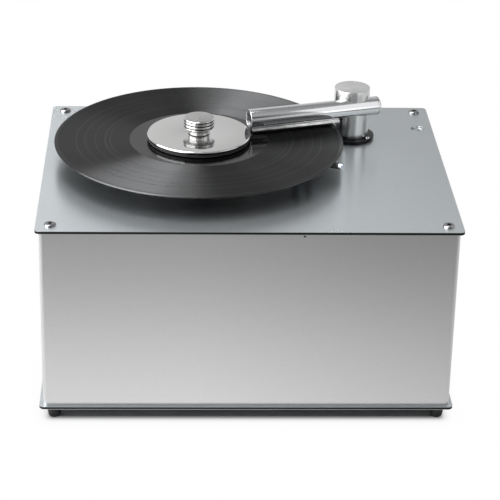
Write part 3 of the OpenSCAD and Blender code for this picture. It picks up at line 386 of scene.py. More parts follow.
distance = add(tree, "ShaderNodeCombineXYZ")
SHADOW_MIDDLE_Y = -0.0182
SHADOW_HALF_X = 0.1955
SHADOW_HALF_Y = 0.1515
tree.links.new(past_edge("X", 0.0, SHADOW_HALF_X), distance.inputs["X"])
tree.links.new(past_edge("Y", SHADOW_MIDDLE_Y, SHADOW_HALF_Y), distance.inputs["Y"])
far = add(tree, "ShaderNodeVectorMath", operation="LENGTH")
tree.links.new(distance.outputs["Vector"], far.inputs[0])
CLEARED = ((0.0, 0.0), (0.0035, 0.21), (0.0055, 0.47), (0.0085, 0.83), (0.0135, 0.97),
           (0.030, 1.0))
cleared = grey_stops(tree, far.outputs["Value"], CLEARED)
veil = times(tree, cleared, rays.outputs["Is Camera Ray"])
white = add(tree, "ShaderNodeEmission", Strength=1.0)
lifted = add(tree, "ShaderNodeMixShader")
tree.links.new(veil, lifted.inputs["Fac"])
tree.links.new(shader.outputs["BSDF"], lifted.inputs[1])
tree.links.new(white.outputs["Emission"], lifted.inputs[2])
# Painted light: in reflections the floor glows, pale near the machine and darker in front.
FLOOR_STOPS = ((0.0, 1.0), (0.25, 0.84), (0.5, 0.58), (0.75, 0.38), (1.0, 0.28))
in_front = add(tree, "ShaderNodeMapRange")
in_front.inputs["From Min"].default_value = -0.18
in_front.inputs["From Max"].default_value = -0.80
tree.links.new(place.outputs["Y"], in_front.inputs["Value"])
tones = grey_stops(tree, in_front.outputs["Result"], FLOOR_STOPS)
screen = add(tree, "ShaderNodeEmission", Strength=1.0)
# Painted light: in reflections the floor's glow is also darker towards the right.
to_right = add(tree, "ShaderNodeMapRange")
to_right.inputs["From Min"].default_value = -0.05
to_right.inputs["From Max"].default_value = 0.25
to_right.inputs["To Min"].default_value = 1.0
to_right.inputs["To Max"].default_value = 0.72
tree.links.new(place.outputs["X"], to_right.inputs["Value"])
shaded = add(tree, "ShaderNodeVectorMath", operation="SCALE")
tree.links.new(tones, shaded.inputs[0])
tree.links.new(to_right.outputs["Result"], shaded.inputs["Scale"])
tree.links.new(shaded.outputs["Vector"], screen.inputs["Color"])
mirrored = times(tree, rays.outputs["Is Glossy Ray"],
                 fade_between(tree, far.outputs["Value"], 0.0, 0.03))
table = add(tree, "ShaderNodeMixShader")
tree.links.new(mirrored, table.inputs["Fac"])
tree.links.new(lifted.outputs["Shader"], table.inputs[1])
tree.links.new(screen.outputs["Emission"], table.inputs[2])
tree.links.new(table.outputs["Shader"], tree.nodes["Material Output"].inputs["Surface"])
mesh.materials.append(paper)
print("floor:", len(mesh.polygons), "face,", len(FLOOR_STOPS), "tones")

# %% [markdown]
# The two plates are a composite: thin aluminium skins on a black plastic core. The core shows
# only along the cut edge, so the finish changes with height, and each plate has its own copy
# of the same recipe. The skins are blasted and anodised, which leaves a very fine grain. Their
# colour is also darkened slowly towards the rear right corner. This is painted shade for a softer
# light: a real plate is one colour, and the darkening stays in the colour under any light.

# %% Composite sheet


def composite(name, low, skin=0.32):
    material, tree, shader = new_material(name, Metallic=0.9, Anisotropic=0.8)
    grain = noise(tree, coordinates(tree), 1100.0, 3.0, 0.7)
    patches = noise(tree, coordinates(tree), 9.0, 2.0)
    colour = ramp(tree, grain, (0.68, 0.72, 0.745), (0.76, 0.81, 0.83), 0.3, 0.7)
    # Painted shade: the skin's colour is darkened slowly towards the rear right corner.
    aslant = add(tree, "ShaderNodeVectorMath", operation="DOT_PRODUCT")
    tree.links.new(coordinates(tree), aslant.inputs[0])
    aslant.inputs[1].default_value = (1.0, 0.8, 0.0)
    painted_rear_shade = add(tree, "ShaderNodeMixRGB", blend_type="MULTIPLY")
    tree.links.new(fade_between(tree, aslant.outputs["Value"], -0.2, 0.32), painted_rear_shade.inputs["Fac"])
    tree.links.new(colour, painted_rear_shade.inputs[1])
    painted_rear_shade.inputs[2].default_value = (0.74, 0.74, 0.735, 1)
    colour = painted_rear_shade.outputs["Color"]
    tree.links.new(spread(tree, patches, 0.26, 0.30), shader.inputs["Roughness"])
    across = add(tree, "ShaderNodeTangent", direction_type="RADIAL", axis="X")
    tree.links.new(across.outputs["Tangent"], shader.inputs["Tangent"])
    bump(tree, shader, grain, 0.06, 0.0001)
    tree.links.new(colour, shader.inputs["Base Color"])
    core = add(tree, "ShaderNodeBsdfPrincipled", Roughness=0.5)
    core.inputs["Specular IOR Level"].default_value = 0.2
    core.inputs["Base Color"].default_value = (0.012, 0.012, 0.012, 1)
    place = add(tree, "ShaderNodeSeparateXYZ")
    tree.links.new(coordinates(tree), place.inputs["Vector"])
    above = add(tree, "ShaderNodeMath", operation="GREATER_THAN")
    above.inputs[1].default_value = (low + skin) * MM
    below = add(tree, "ShaderNodeMath", operation="LESS_THAN")
    below.inputs[1].default_value = (low + 3 - skin) * MM
    inside = add(tree, "ShaderNodeMath", operation="MULTIPLY")
    tree.links.new(place.outputs["Z"], above.inputs[0])
    tree.links.new(place.outputs["Z"], below.inputs[0])
    tree.links.new(above.outputs["Value"], inside.inputs[0])
    tree.links.new(below.outputs["Value"], inside.inputs[1])
    both = add(tree, "ShaderNodeMixShader")
    tree.links.new(inside.outputs["Value"], both.inputs["Fac"])
    tree.links.new(shader.outputs["BSDF"], both.inputs[1])
    tree.links.new(core.outputs["BSDF"], both.inputs[2])
    tree.links.new(both.outputs["Shader"], tree.nodes["Material Output"].inputs["Surface"])
    return material


top_sheet = composite("top_sheet", 210)
base_sheet = composite("base_sheet", 15)
print("composite sheets:", top_sheet.name, base_sheet.name)

# %% [markdown]
# Metals differ in colour, in how rough they are and in the way they were worked. One recipe
# makes them all: a grain stretched along the direction of brushing, or rings where a piece was
# turned on a lathe, moves the roughness and a very low bump. Where a form is too small to hold
# its own shadow, as in the knob's grooves, under the disc's edge and round the small hole in the
# panel, the finish is darkened instead.

# %% Metals


def metal(name, colour, rough, grain=(60, 60, 60), scale=6.0, depth=0.05, spread_by=0.06,
          centre=(0, 0, 0), **inputs):
    material, tree, shader = new_material(name, Metallic=1.0, **inputs)
    value = noise(tree, coordinates(tree, grain, centre), scale, 4.0, 0.6)
    darker = [c * 0.94 for c in colour]
    tree.links.new(ramp(tree, value, darker, colour, 0.3, 0.7), shader.inputs["Base Color"])
    tree.links.new(spread(tree, value, rough - spread_by / 2, rough + spread_by / 2),
                   shader.inputs["Roughness"])
    bump(tree, shader, value, depth, 0.0002)
    return material


def turned_metal(name, colour, rough, centre, grain=2500.0, depth=0.04, **inputs):
    material, tree, shader = new_material(name, Metallic=1.0, **inputs)
    flat = coordinates(tree, (1, 1, 0), centre)
    along_outline(tree, shader, flat)
    across = add(tree, "ShaderNodeVectorMath", operation="LENGTH")
    tree.links.new(flat, across.inputs[0])
    height = add(tree, "ShaderNodeSeparateXYZ")
    tree.links.new(coordinates(tree), height.inputs["Vector"])
    along = add(tree, "ShaderNodeMath", operation="ADD")
    tree.links.new(across.outputs["Value"], along.inputs[0])
    tree.links.new(height.outputs["Z"], along.inputs[1])
    rings = add(tree, "ShaderNodeTexNoise", noise_dimensions="1D", Scale=grain, Detail=2.0)
    tree.links.new(along.outputs["Value"], rings.inputs["W"])
    value = rings.outputs["Fac"]
    darker = [c * 0.95 for c in colour]
    tree.links.new(ramp(tree, value, darker, colour, 0.3, 0.7), shader.inputs["Base Color"])
    tree.links.new(spread(tree, value, rough - 0.02, rough + 0.02), shader.inputs["Roughness"])
    bump(tree, shader, value, depth, 0.0001)
    return material


spindle_point = at(*SPINDLE, DECK)
post_point = at(*POST, DECK)
panel_metal = metal("blasted_panel", (0.72, 0.72, 0.72), 0.30, (1, 1, 1), 1100.0, 0.06)
WEEP_HOLE = at(53.0, 0, DECK - 6.1)
tree = panel_metal.node_tree
from_hole = add(tree, "ShaderNodeVectorMath", operation="LENGTH")
tree.links.new(coordinates(tree, (1, 0, 1), WEEP_HOLE), from_hole.inputs[0])
tint_where(tree, fade_between(tree, from_hole.outputs["Value"], 0.0012, 0.0010), 0.01)
rear_metal = metal("blasted_rear_panel", (0.62, 0.62, 0.62), 0.32, (1, 1, 1), 1100.0, 0.06)
post_metal = turned_metal("turned_post", (0.76, 0.765, 0.765), 0.20, post_point, Anisotropic=0.85)
disc_metal = turned_metal("mirror_disc", (0.69, 0.69, 0.685), 0.05, spindle_point, depth=0.01)
knob_metal = turned_metal("turned_knob", (0.70, 0.695, 0.69), 0.19, spindle_point, Anisotropic=0.9)
tube_metal = metal("polished_tube", (0.78, 0.79, 0.80), 0.09, (300, 20, 20), 2.0, 0.02, 0.04)
tree = disc_metal.node_tree
place = add(tree, "ShaderNodeSeparateXYZ")
tree.links.new(coordinates(tree, centre=spindle_point), place.inputs["Vector"])
tint_where(tree, fade_between(tree, place.outputs["Z"], 0.0294, 0.0286), 0.02)
tree = knob_metal.node_tree
place = add(tree, "ShaderNodeSeparateXYZ")
tree.links.new(coordinates(tree, centre=spindle_point), place.inputs["Vector"])
out_from_axis = add(tree, "ShaderNodeVectorMath", operation="LENGTH")
tree.links.new(coordinates(tree, (1, 1, 0), spindle_point), out_from_axis.inputs[0])
in_groove = times(tree, fade_between(tree, out_from_axis.outputs["Value"], 0.01605, 0.0158),
                  fade_between(tree, place.outputs["Z"], 0.0372, 0.0376))
in_groove = times(tree, in_groove, fade_between(tree, place.outputs["Z"], 0.0469, 0.0467))
tint_where(tree, in_groove, 0.02)
# Painted shade: the dome on top of the knob is darkened a little.
tint_where(tree, fade_between(tree, place.outputs["Z"], 0.0476, 0.0480), 0.74, "MULTIPLY")
lip_metal = metal("milled_lip", (0.80, 0.80, 0.80), 0.24, (1, 1, 1), 400.0)
shader = lip_metal.node_tree.nodes["Principled BSDF"]
shader.inputs["Metallic"].default_value = 0.9
slanted = add(lip_metal.node_tree, "ShaderNodeMapping")
slanted.inputs["Rotation"].default_value = (0.0, 0.55, 0.28)
slanted.inputs["Scale"].default_value = (90.0, 90.0, 900.0)
lip_metal.node_tree.links.new(coordinates(lip_metal.node_tree), slanted.inputs["Vector"])
streaks = noise(lip_metal.node_tree, slanted.outputs["Vector"], 1.0, 3.0, 0.6)
lip_metal.node_tree.links.new(ramp(lip_metal.node_tree, streaks, (0.46, 0.46, 0.46),
                                   (0.92, 0.92, 0.92), 0.35, 0.65), shader.inputs["Base Color"])
bright_steel = metal("bright_steel", (0.70, 0.70, 0.71), 0.14)
# The corner screws use a copy of the bright steel painted darker, as shade.
shaded_screw_steel = metal("shaded_screw_steel", (0.30, 0.30, 0.31), 0.12)
blue_steel = metal("ground_steel", (0.55, 0.60, 0.68), 0.12)
zinc = metal("zinc_plating", (0.58, 0.59, 0.60), 0.3, (50, 50, 50), 8.0, 0.1)
bronze = metal("bearing_bronze", (0.62, 0.45, 0.24), 0.3)
brass = metal("turned_brass", (0.78, 0.60, 0.30), 0.25)
nickel = metal("nickel_plating", (0.66, 0.64, 0.60), 0.2)
plain_aluminium = metal("machined_aluminium", (0.66, 0.67, 0.68), 0.32, (40, 40, 400), 4.0, 0.1)
cast_metal = metal("die_casting", (0.45, 0.46, 0.47), 0.5, (120, 120, 120), 4.0, 0.3)
fan_steel = metal("pressed_steel", (0.60, 0.61, 0.63), 0.35)
black_metal = metal("black_anodising", (0.02, 0.02, 0.022), 0.3, (200, 200, 200), 4.0, 0.1)
dark_metal = metal("dark_anodising", (0.09, 0.09, 0.10), 0.35)
print("metals:", sum("Principled BSDF" in m.node_tree.nodes for m in bpy.data.materials))

# %% [markdown]
# Rubber, moulded plastic and paint aren't metal: a dark or pale base colour, a broad soft
# shine, and a fine pebble of bump that keeps a large face from looking flat.

# %% Rubber and plastic


def moulded(name, colour, rough, pebble=900.0, depth=0.15, **inputs):
    material, tree, shader = new_material(name, **inputs)
    value = noise(tree, coordinates(tree), pebble, 3.0)
    lighter = [min(1.0, c * 1.25 + 0.003) for c in colour]
    tree.links.new(ramp(tree, value, colour, lighter, 0.35, 0.7), shader.inputs["Base Color"])
    tree.links.new(spread(tree, value, rough - 0.06, rough + 0.06), shader.inputs["Roughness"])
    bump(tree, shader, value, depth, 0.0002)
    return material


foot_rubber = moulded("foot_rubber", (0.018, 0.018, 0.018), 0.5)
mat_rubber = moulded("mat_rubber", (0.02, 0.02, 0.02), 0.6)
hose_rubber = moulded("hose_rubber", (0.03, 0.03, 0.03), 0.45)
black_plastic = moulded("black_plastic", (0.02, 0.02, 0.021), 0.4)
rocker_plastic = moulded("rocker_plastic", (0.025, 0.025, 0.026), 0.25, 600.0, 0.05)
tank_plastic = moulded("tank_plastic", (0.62, 0.65, 0.68), 0.4, 300.0, 0.05)
capacitor_plastic = moulded("capacitor_sleeve", (0.75, 0.75, 0.72), 0.3)
terminal_plastic = moulded("terminal_plastic", (0.72, 0.68, 0.56), 0.4)
motor_paint = moulded("motor_paint", (0.05, 0.05, 0.055), 0.4, 500.0, 0.2)
lever_coat = moulded("lever_coating", (0.45, 0.03, 0.02), 0.35)
velvet = moulded("velvet_pile", (0.008, 0.008, 0.008), 0.9, 3500.0, 0.6, Sheen_Weight=0.4)
print("moulded finishes are ready")

# %% [markdown]
# A record is black vinyl cut with one long groove. Smooth gaps part the songs, and the groove
# spreads light along the radius, which an anisotropic shine gives once its tangent points away
# from the spindle. The shine then gathers in two fans, under and over the clamp.

# %% Record vinyl
vinyl, tree, shader = new_material("record_vinyl", Metallic=1.0, Anisotropic=1.0)
shader.inputs["Specular Tint"].default_value = (0.7, 0.7, 0.7, 1)
flat = coordinates(tree, (1, 1, 0), spindle_point)
around = add(tree, "ShaderNodeVectorMath", operation="LENGTH")
tree.links.new(flat, around.inputs[0])
along_outline(tree, shader, flat)
radius = add(tree, "ShaderNodeMapRange")
radius.inputs["From Max"].default_value = 0.1508
tree.links.new(around.outputs["Value"], radius.inputs["Value"])
bands = add(tree, "ShaderNodeValToRGB")
SONG_GAPS = (0.616, 0.650, 0.719, 0.788, 0.850)
GROOVED = 0.44
SMOOTH = 0.10
RIM = 0.36
LABEL = 0.08
GAP = 0.3
bands.color_ramp.elements[0].color = (LABEL, LABEL, LABEL, 1)
bands.color_ramp.elements[1].color = (RIM, RIM, RIM, 1)
for place, value in ((0.478, SMOOTH), (0.482, GROOVED), (0.970, GROOVED), (0.974, RIM)):
    stop = bands.color_ramp.elements.new(place)
    stop.color = (value, value, value, 1)
for gap in SONG_GAPS:
    for place, value in ((-0.004, GROOVED), (-0.002, GAP), (0.002, GAP), (0.004, GROOVED)):
        stop = bands.color_ramp.elements.new(gap + place)
        stop.color = (value, value, value, 1)
tree.links.new(radius.outputs["Result"], bands.inputs["Fac"])
rough = add(tree, "ShaderNodeSeparateColor")
tree.links.new(bands.outputs["Color"], rough.inputs["Color"])
tree.links.new(rough.outputs["Red"], shader.inputs["Roughness"])
grooves = add(tree, "ShaderNodeTexNoise", noise_dimensions="1D", Scale=1500.0, Detail=4.0)
tree.links.new(around.outputs["Value"], grooves.inputs["W"])
shine = add(tree, "ShaderNodeMixRGB", blend_type="MIX")
tree.links.new(fade_between(tree, rough.outputs["Red"], 0.42, 0.12), shine.inputs["Fac"])
tree.links.new(ramp(tree, grooves.outputs["Fac"], (0.058, 0.059, 0.060), (0.094, 0.095, 0.097),
                    0.3, 0.7), shine.inputs[1])
shine.inputs[2].default_value = (0.13, 0.13, 0.132, 1)
tree.links.new(shine.outputs["Color"], shader.inputs["Base Color"])
cut = add(tree, "ShaderNodeMath", operation="MULTIPLY")
tree.links.new(grooves.outputs["Fac"], cut.inputs[0])
tree.links.new(rough.outputs["Red"], cut.inputs[1])
bump(tree, shader, cut.outputs["Value"], 0.12, 0.0002)
print("record bands:", len(bands.color_ramp.elements))

# %% [markdown]
# Round pieces are turned, as on a lathe: half of the outline is drawn as a few points, its
# corners are bevelled, and it is spun once round its axis. The seam is merged, the faces are
# turned outwards, and the edges that should stay crisp are left to the bevel.

# %% Turning and placing helpers


def finish_piece(shape, name, material, body, replaces=(), sharp=30):
    bmesh.ops.remove_doubles(shape, verts=shape.verts, dist=1e-7)
    bmesh.ops.recalc_face_normals(shape, faces=shape.faces)
    for face in shape.faces:
        face.smooth = True
    for edge in shape.edges:
        wide = len(edge.link_faces) == 2 and edge.calc_face_angle(0) > math.radians(sharp)
        edge.smooth = not wide
    mesh = bpy.data.meshes.new(name)
    shape.to_mesh(mesh)
    shape.free()
    mesh.materials.append(material)
    piece = bpy.data.objects.new(name, mesh)
    scene.collection.objects.link(piece)
    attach(piece, body)
    if replaces:
        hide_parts(*replaces)
    print(name, len(mesh.polygons), "faces")
    return piece


def turn(shape, outline, centre, z, steps=96, round_by=0.0, rounds=3):
    before = set(shape.verts)
    points = [shape.verts.new((r * MM, 0, h * MM)) for r, h in outline]
    edges = [shape.edges.new(pair) for pair in zip(points, points[1:])]
    if round_by:
        inner = [v for v in points[1:-1] if v.co.x > 1e-6]
        bmesh.ops.bevel(shape, geom=inner, offset=round_by * MM, affect="VERTICES",
                        segments=rounds, profile=0.5, material=-1)
        points = [v for v in shape.verts if v not in before]
        edges = list({e for v in points for e in v.link_edges})
    bmesh.ops.spin(shape, geom=points + edges, cent=(0, 0, 0), axis=(0, 0, 1), steps=steps,
                   angle=math.tau, use_merge=True)
    made = [v for v in shape.verts if v not in before]
    bmesh.ops.translate(shape, verts=made, vec=at(*centre, z))
    return made


def ring_outline(outer, inner, low, high):
    return [(inner, low), (outer, low), (outer, high), (inner, high), (inner, low)]


print("the lathe is ready")

# %% [markdown]
# The record is turned too. Its label and rim stand a little above the grooves, so that two
# records can't scratch each other, and that raised rim catches a fine line of light.

# %% Record
half = 1.0
thin = 0.65
record_outline = [
    (3.7, -half), (50, -half), (51.5, -thin), (59, -thin), (145.5, -thin), (147, -half),
    (150.1, -half), (150.8, -0.4), (150.8, 0.4), (150.1, half), (147, half), (145.5, thin),
    (59, thin), (51.5, thin), (50, half), (3.7, half), (3.7, -half)]
shape = bmesh.new()
turn(shape, record_outline, SPINDLE, DECK + 23, 192, 0.25, 2)
finish_piece(shape, "record_disc", vinyl, "turntable", ["record"])

# %% [markdown]
# The clamp starts with a soft ring that grips the label and a thick mirror-polished disc with
# bevelled edges.

# %% Clamp ring and disc
GASKET_LOW = DECK + 24.3
CLAMP_LOW = GASKET_LOW + 3.3
shape = bmesh.new()
turn(shape, ring_outline(53.5, 38, 0, 3.3), SPINDLE, GASKET_LOW, 128, 0.4)
finish_piece(shape, "clamp_ring", mat_rubber, "clamp_plate", ["clamp_gasket"])
shape = bmesh.new()
disc_outline = [(6.05, 0), (53.9, 0), (54.2, 0.3), (54.2, 2.1), (53.3, 3), (6.05, 3), (6.05, 0)]
turn(shape, disc_outline, SPINDLE, CLAMP_LOW, 160, 0.12, 2)
finish_piece(shape, "clamp_disc_polished", disc_metal, "clamp_plate",
             ["clamp_disc"])

# %% [markdown]
# The knob has three grooves for the fingers over a swept shoulder and a narrow neck, and a low
# dome on top. The grooves are worked out by a loop, because they repeat.

# %% Clamp knob
KNOB_LOW = CLAMP_LOW + 3.3
KNOB_R = 16.2
GROOVE_W = 1.15
GROOVE_MIDDLES = (8.3, 11.75, 15.2)
DOME_R = 15.0
DOME_LOW = 17.2
DOME_H = 0.9
knob_outline = [(0, 0), (11.2, 0)]
for i in range(9):
    turn_by = math.radians(90 * i / 8)
    knob_outline.append((11.2 + 4.3 * (1 - math.cos(turn_by)), 1.2 + 5.2 * math.sin(turn_by)))
for middle in GROOVE_MIDDLES:
    low = middle - GROOVE_W / 2
    high = middle + GROOVE_W / 2
    knob_outline += [(KNOB_R, low - 0.35), (KNOB_R - 0.25, low), (KNOB_R - 1.9, low + 0.15),
                     (KNOB_R - 1.9, high - 0.15), (KNOB_R - 0.25, high), (KNOB_R, high + 0.35)]
knob_outline += [(KNOB_R, DOME_LOW - 0.9), (KNOB_R - 0.35, DOME_LOW - 0.35)]
for i in range(7):
    knob_outline.append((DOME_R * (1 - i / 6), DOME_LOW + DOME_H * (1 - (1 - i / 6) ** 2)))
shape = bmesh.new()
turn(shape, knob_outline, SPINDLE, KNOB_LOW, 128, 0.1, 2)
finish_piece(shape, "clamp_knob_turned", knob_metal, "clamp_grip",
             ["clamp_knob"])

# %% [markdown]
# Everything on the arm is drawn along one axis from the post and then turned over the record.

# %% Arm helpers
TUBE_Z = DECK + 38.56
TUBE_SIDE = 12.3
arm_frame = Matrix.Translation(at(*POST, 0)) @ Matrix.Rotation(ARM_TURN, 4, "Z")


def on_arm(shape, verts):
    bmesh.ops.transform(shape, matrix=arm_frame, verts=verts)


def along_tube(shape, outline, start, steps=96, round_by=0.0):
    made = turn(shape, outline, (0, MIDDLE_Y), 0, steps, round_by)
    lay = Matrix.Translation(Vector((start * MM, TUBE_SIDE * MM, TUBE_Z * MM)))
    lay = lay @ Matrix.Rotation(math.radians(90), 4, "Y")
    bmesh.ops.transform(shape, matrix=lay, verts=made)
    on_arm(shape, made)
    return made


print("arm turned by", round(math.degrees(ARM_TURN), 1), "degrees")

# %% [markdown]
# The suction tube is a thin-walled pipe with a polished outside. Its ends are slightly rounded.

# %% Suction tube
TUBE_R = 9.9
BORE_R = 8.7
shape = bmesh.new()
TUBE_END = 120.7
tube_outline = [(BORE_R, -23), (TUBE_R, -23), (TUBE_R, TUBE_END), (BORE_R, TUBE_END),
                (BORE_R, -23)]
along_tube(shape, tube_outline, 0, 128, 0.35)
finish_piece(shape, "suction_tube_polished", tube_metal, "suction_arm",
             ["suction_tube"])

# %% [markdown]
# A dark plug is set a little way into the inner end, and a rounded cap closes the outer one.

# %% Tube ends
shape = bmesh.new()
plug_outline = [(0, 114.9), (BORE_R - 0.02, 114.9), (BORE_R - 0.02, 119.1), (0, 119.1)]
along_tube(shape, plug_outline, 0, 96, 0.3)
finish_piece(shape, "tube_plug_dark", dark_metal, "suction_arm", ["tube_plug"])
shape = bmesh.new()
cap_outline = [(0, -17), (8.6, -17), (8.6, -23.05), (TUBE_R, -23.05)]
for i in range(9):
    turn_by = math.radians(90 * i / 8)
    cap_outline.append((TUBE_R - 2.4 + 2.4 * math.cos(turn_by),
                        -23.8 - 2.4 * math.sin(turn_by)))
cap_outline.append((0, -26.2))
along_tube(shape, cap_outline, 0, 96)
finish_piece(shape, "tube_cap_rounded", tube_metal, "suction_arm",
             ["tube_end_cap"])

# %% [markdown]
# The lip bar is a plain strip let into the tube's underside, with two strips of velvet below
# it. A cube scaled to size with bevelled edges is right for such machined bars.

# %% Bar helper


def bar(shape, low, high, round_by=0.3, segments=3):
    before = set(shape.verts)
    bmesh.ops.create_cube(shape, size=1.0)
    made = [v for v in shape.verts if v not in before]
    size = Vector(high) - Vector(low)
    bmesh.ops.scale(shape, vec=size * MM, verts=made)
    bmesh.ops.translate(shape, vec=(Vector(low) + size / 2) * MM, verts=made)
    edges = list({e for v in made for e in v.link_edges})
    if round_by:
        bmesh.ops.bevel(shape, geom=edges, offset=round_by * MM, affect="EDGES",
                        segments=segments, profile=0.5, material=-1)
    return [v for v in shape.verts if v not in before]


print("the bar helper is ready")

# %% [markdown]
# Two bars make the lip, with the suction slot between them, and a velvet strip lies under each.
# The outer faces slope in towards the tube, so the top corners are moved before the bevel.

# %% Lip bar and velvet
VELVET_LOW = DECK + 24.3
LIP_LOW = VELVET_LOW + 1.7
LIP_TOP = DECK + 30.4
LIP_START = 19.7
LIP_END = 118.2
LIP_W = 4.2
LIP_SLOPE = 3.6
shape = bmesh.new()
for side, outer, inwards in ((-5.4, min, 1), (1.2, max, -1)):
    made = bar(shape, (LIP_START, TUBE_SIDE + side, LIP_LOW),
               (LIP_END, TUBE_SIDE + side + LIP_W, LIP_TOP), 0)
    edge_y = outer(v.co.y for v in made)
    top = [v for v in made if v.co.z > (LIP_LOW + 1) * MM and abs(v.co.y - edge_y) < MM]
    bmesh.ops.translate(shape, verts=top, vec=(0, inwards * LIP_SLOPE * MM, 0))
    edges = list({e for v in made for e in v.link_edges})
    bmesh.ops.bevel(shape, geom=edges, offset=0.25 * MM, affect="EDGES", segments=2, profile=0.5,
                    material=-1)
on_arm(shape, shape.verts)
finish_piece(shape, "lip_bar_polished", lip_metal, "suction_arm", ["lip_bar"])
shape = bmesh.new()
for side in (-3.4, 3.4):
    on_arm(shape, bar(shape, (29.7, TUBE_SIDE + side - 1.9, VELVET_LOW),
                      (117.2, TUBE_SIDE + side + 1.9, LIP_LOW), 0.2, 2))
finish_piece(shape, "velvet_pads", velvet, "suction_arm", ["velvet_strips"])

# %% [markdown]
# The arm's post is a turned pillar in two halves, which grip the suction tube between them.
# The saddle for the tube is cut with a Boolean, because two round forms meet there in a curve
# that no single tool draws.

# %% Post and head


def saddle_cut(piece):
    shape = bmesh.new()
    along_tube(shape, [(0, -60), (TUBE_R + 0.02, -60), (TUBE_R + 0.02, 60), (0, 60)], 0, 128)
    bmesh.ops.recalc_face_normals(shape, faces=shape.faces)
    mesh = bpy.data.meshes.new("saddle_tool")
    shape.to_mesh(mesh)
    shape.free()
    tool = bpy.data.objects.new("saddle_tool", mesh)
    scene.collection.objects.link(tool)
    cut = piece.modifiers.new("saddle", "BOOLEAN")
    cut.operation = "DIFFERENCE"
    cut.solver = "EXACT"
    cut.object = tool
    bpy.context.view_layer.update()
    seen = piece.evaluated_get(bpy.context.evaluated_depsgraph_get())
    done = bpy.data.meshes.new_from_object(seen)
    piece.modifiers.remove(cut)
    piece.data = done
    bpy.data.objects.remove(tool)


POST_R = 19.0
shape = bmesh.new()
turn(shape, [(0, 37), (12.4, 27.5), (12.4, 4.3), (POST_R, 4.3), (POST_R, 38.5), (0, 38.5)],
     POST, DECK, 160, 0.3)
pillar = finish_piece(shape, "post_pillar", post_metal, "suction_arm", ["arm_post"])
saddle_cut(pillar)
shape = bmesh.new()
turn(shape, [(0, 38.58), (POST_R, 38.58), (POST_R, 57.4), (0, 57.4)], POST, DECK, 160, 0.45)
head = finish_piece(shape, "post_head", post_metal, "suction_arm", ["arm_head"])
saddle_cut(head)
print("saddles cut:", len(pillar.data.polygons), len(head.data.polygons), "faces")

# %% [markdown]
# A black ring is screwed to the deck round the post's foot. Its edges are only just broken.

# %% Flange ring
shape = bmesh.new()
turn(shape, ring_outline(25.2, 12.4, 0, 3.8), POST, DECK, 160, 0.45)
finish_piece(shape, "post_flange", black_metal, "cabinet", ["arm_flange"])

# %% [markdown]
# Socket screws have a domed head with a hexagon sunk in it. The dome is turned, and the hexagon
# is cut by an inset of the flat middle that is pushed down, so the head stays one closed shell.

# %% Screws


def dome_screw(shape, place, radius, height, socket, turn_by=0.0, lay=None, shank=6.0):
    before = set(shape.verts)
    bmesh.ops.create_cone(shape, cap_ends=True, segments=48, radius1=radius * MM,
                          radius2=radius * MM, depth=height * MM)
    made = [v for v in shape.verts if v not in before]
    bmesh.ops.translate(shape, verts=made, vec=(0, 0, height * MM / 2))
    top = [f for f in shape.faces if f.verts[0] in made and f.normal.z > 0.9]
    rim = [e for e in top[0].edges]
    bmesh.ops.bevel(shape, geom=rim, offset=height * 0.7 * MM, affect="EDGES", segments=6,
                    profile=0.5, material=-1)
    tops = [f for f in shape.faces if f.normal.z > 0.999 and f.calc_center_median().z
            > height * MM * 0.98 and set(f.verts).isdisjoint(before)]
    bmesh.ops.delete(shape, geom=tops, context="FACES")
    edge = [e for e in shape.edges if e.is_boundary and e.verts[0] not in before]
    hexagon = bmesh.ops.create_circle(shape, cap_ends=False, segments=6, radius=socket * MM)
    bmesh.ops.rotate(shape, verts=hexagon["verts"], cent=(0, 0, 0),
                     matrix=Matrix.Rotation(turn_by, 3, "Z"))
    bmesh.ops.translate(shape, verts=hexagon["verts"], vec=(0, 0, height * MM))
    inner = [e for v in hexagon["verts"] for e in v.link_edges]
    inner = list(set(inner))
    bmesh.ops.bridge_loops(shape, edges=edge + inner)
    sunk = bmesh.ops.extrude_edge_only(shape, edges=inner)
    low = [v for v in sunk["geom"] if isinstance(v, bmesh.types.BMVert)]
    bmesh.ops.translate(shape, verts=low, vec=(0, 0, -height * 0.65 * MM))
    bmesh.ops.contextual_create(shape, geom=[e for e in sunk["geom"]
                                             if isinstance(e, bmesh.types.BMEdge)
                                             and all(v in low for v in e.verts)])
    shaft = bmesh.ops.create_cone(shape, cap_ends=True, segments=24, radius1=radius * 0.5 * MM,
                                  radius2=radius * 0.5 * MM, depth=shank * MM)
    bmesh.ops.translate(shape, verts=shaft["verts"], vec=(0, 0, -shank * MM / 2 + 0.0002))
    made = [v for v in shape.verts if v not in before]
    if lay:
        bmesh.ops.rotate(shape, verts=made, cent=(0, 0, 0), matrix=lay)
    bmesh.ops.translate(shape, verts=made, vec=at(*place))
    return made


corners = [(x, y) for x in (-194.5, 194.5) for y in (14.5, 315.5)]
shape = bmesh.new()
for i, (x, y) in enumerate(corners):
    dome_screw(shape, (x, y, DECK), 6.0, 2.4, 2.3, 0.3 + 0.5 * i, shank=20.0)
finish_piece(shape, "corner_screws", shaded_screw_steel, "cabinet", ["top_screws"])
shape = bmesh.new()
for turn_at in (-38, 82, 202):
    angle = math.radians(turn_at)
    dome_screw(shape, (POST[0] + 22.1 * math.cos(angle), POST[1] + 22.1 * math.sin(angle),
                       DECK + 3.8), 2.3, 1.4, 1.0, shank=11.0)
finish_piece(shape, "flange_ring_screws", bright_steel, "cabinet",
             ["flange_screws"])

# %% [markdown]
# Each foot is a tapered rubber plug with a rounded tread. It is turned like the metal parts.

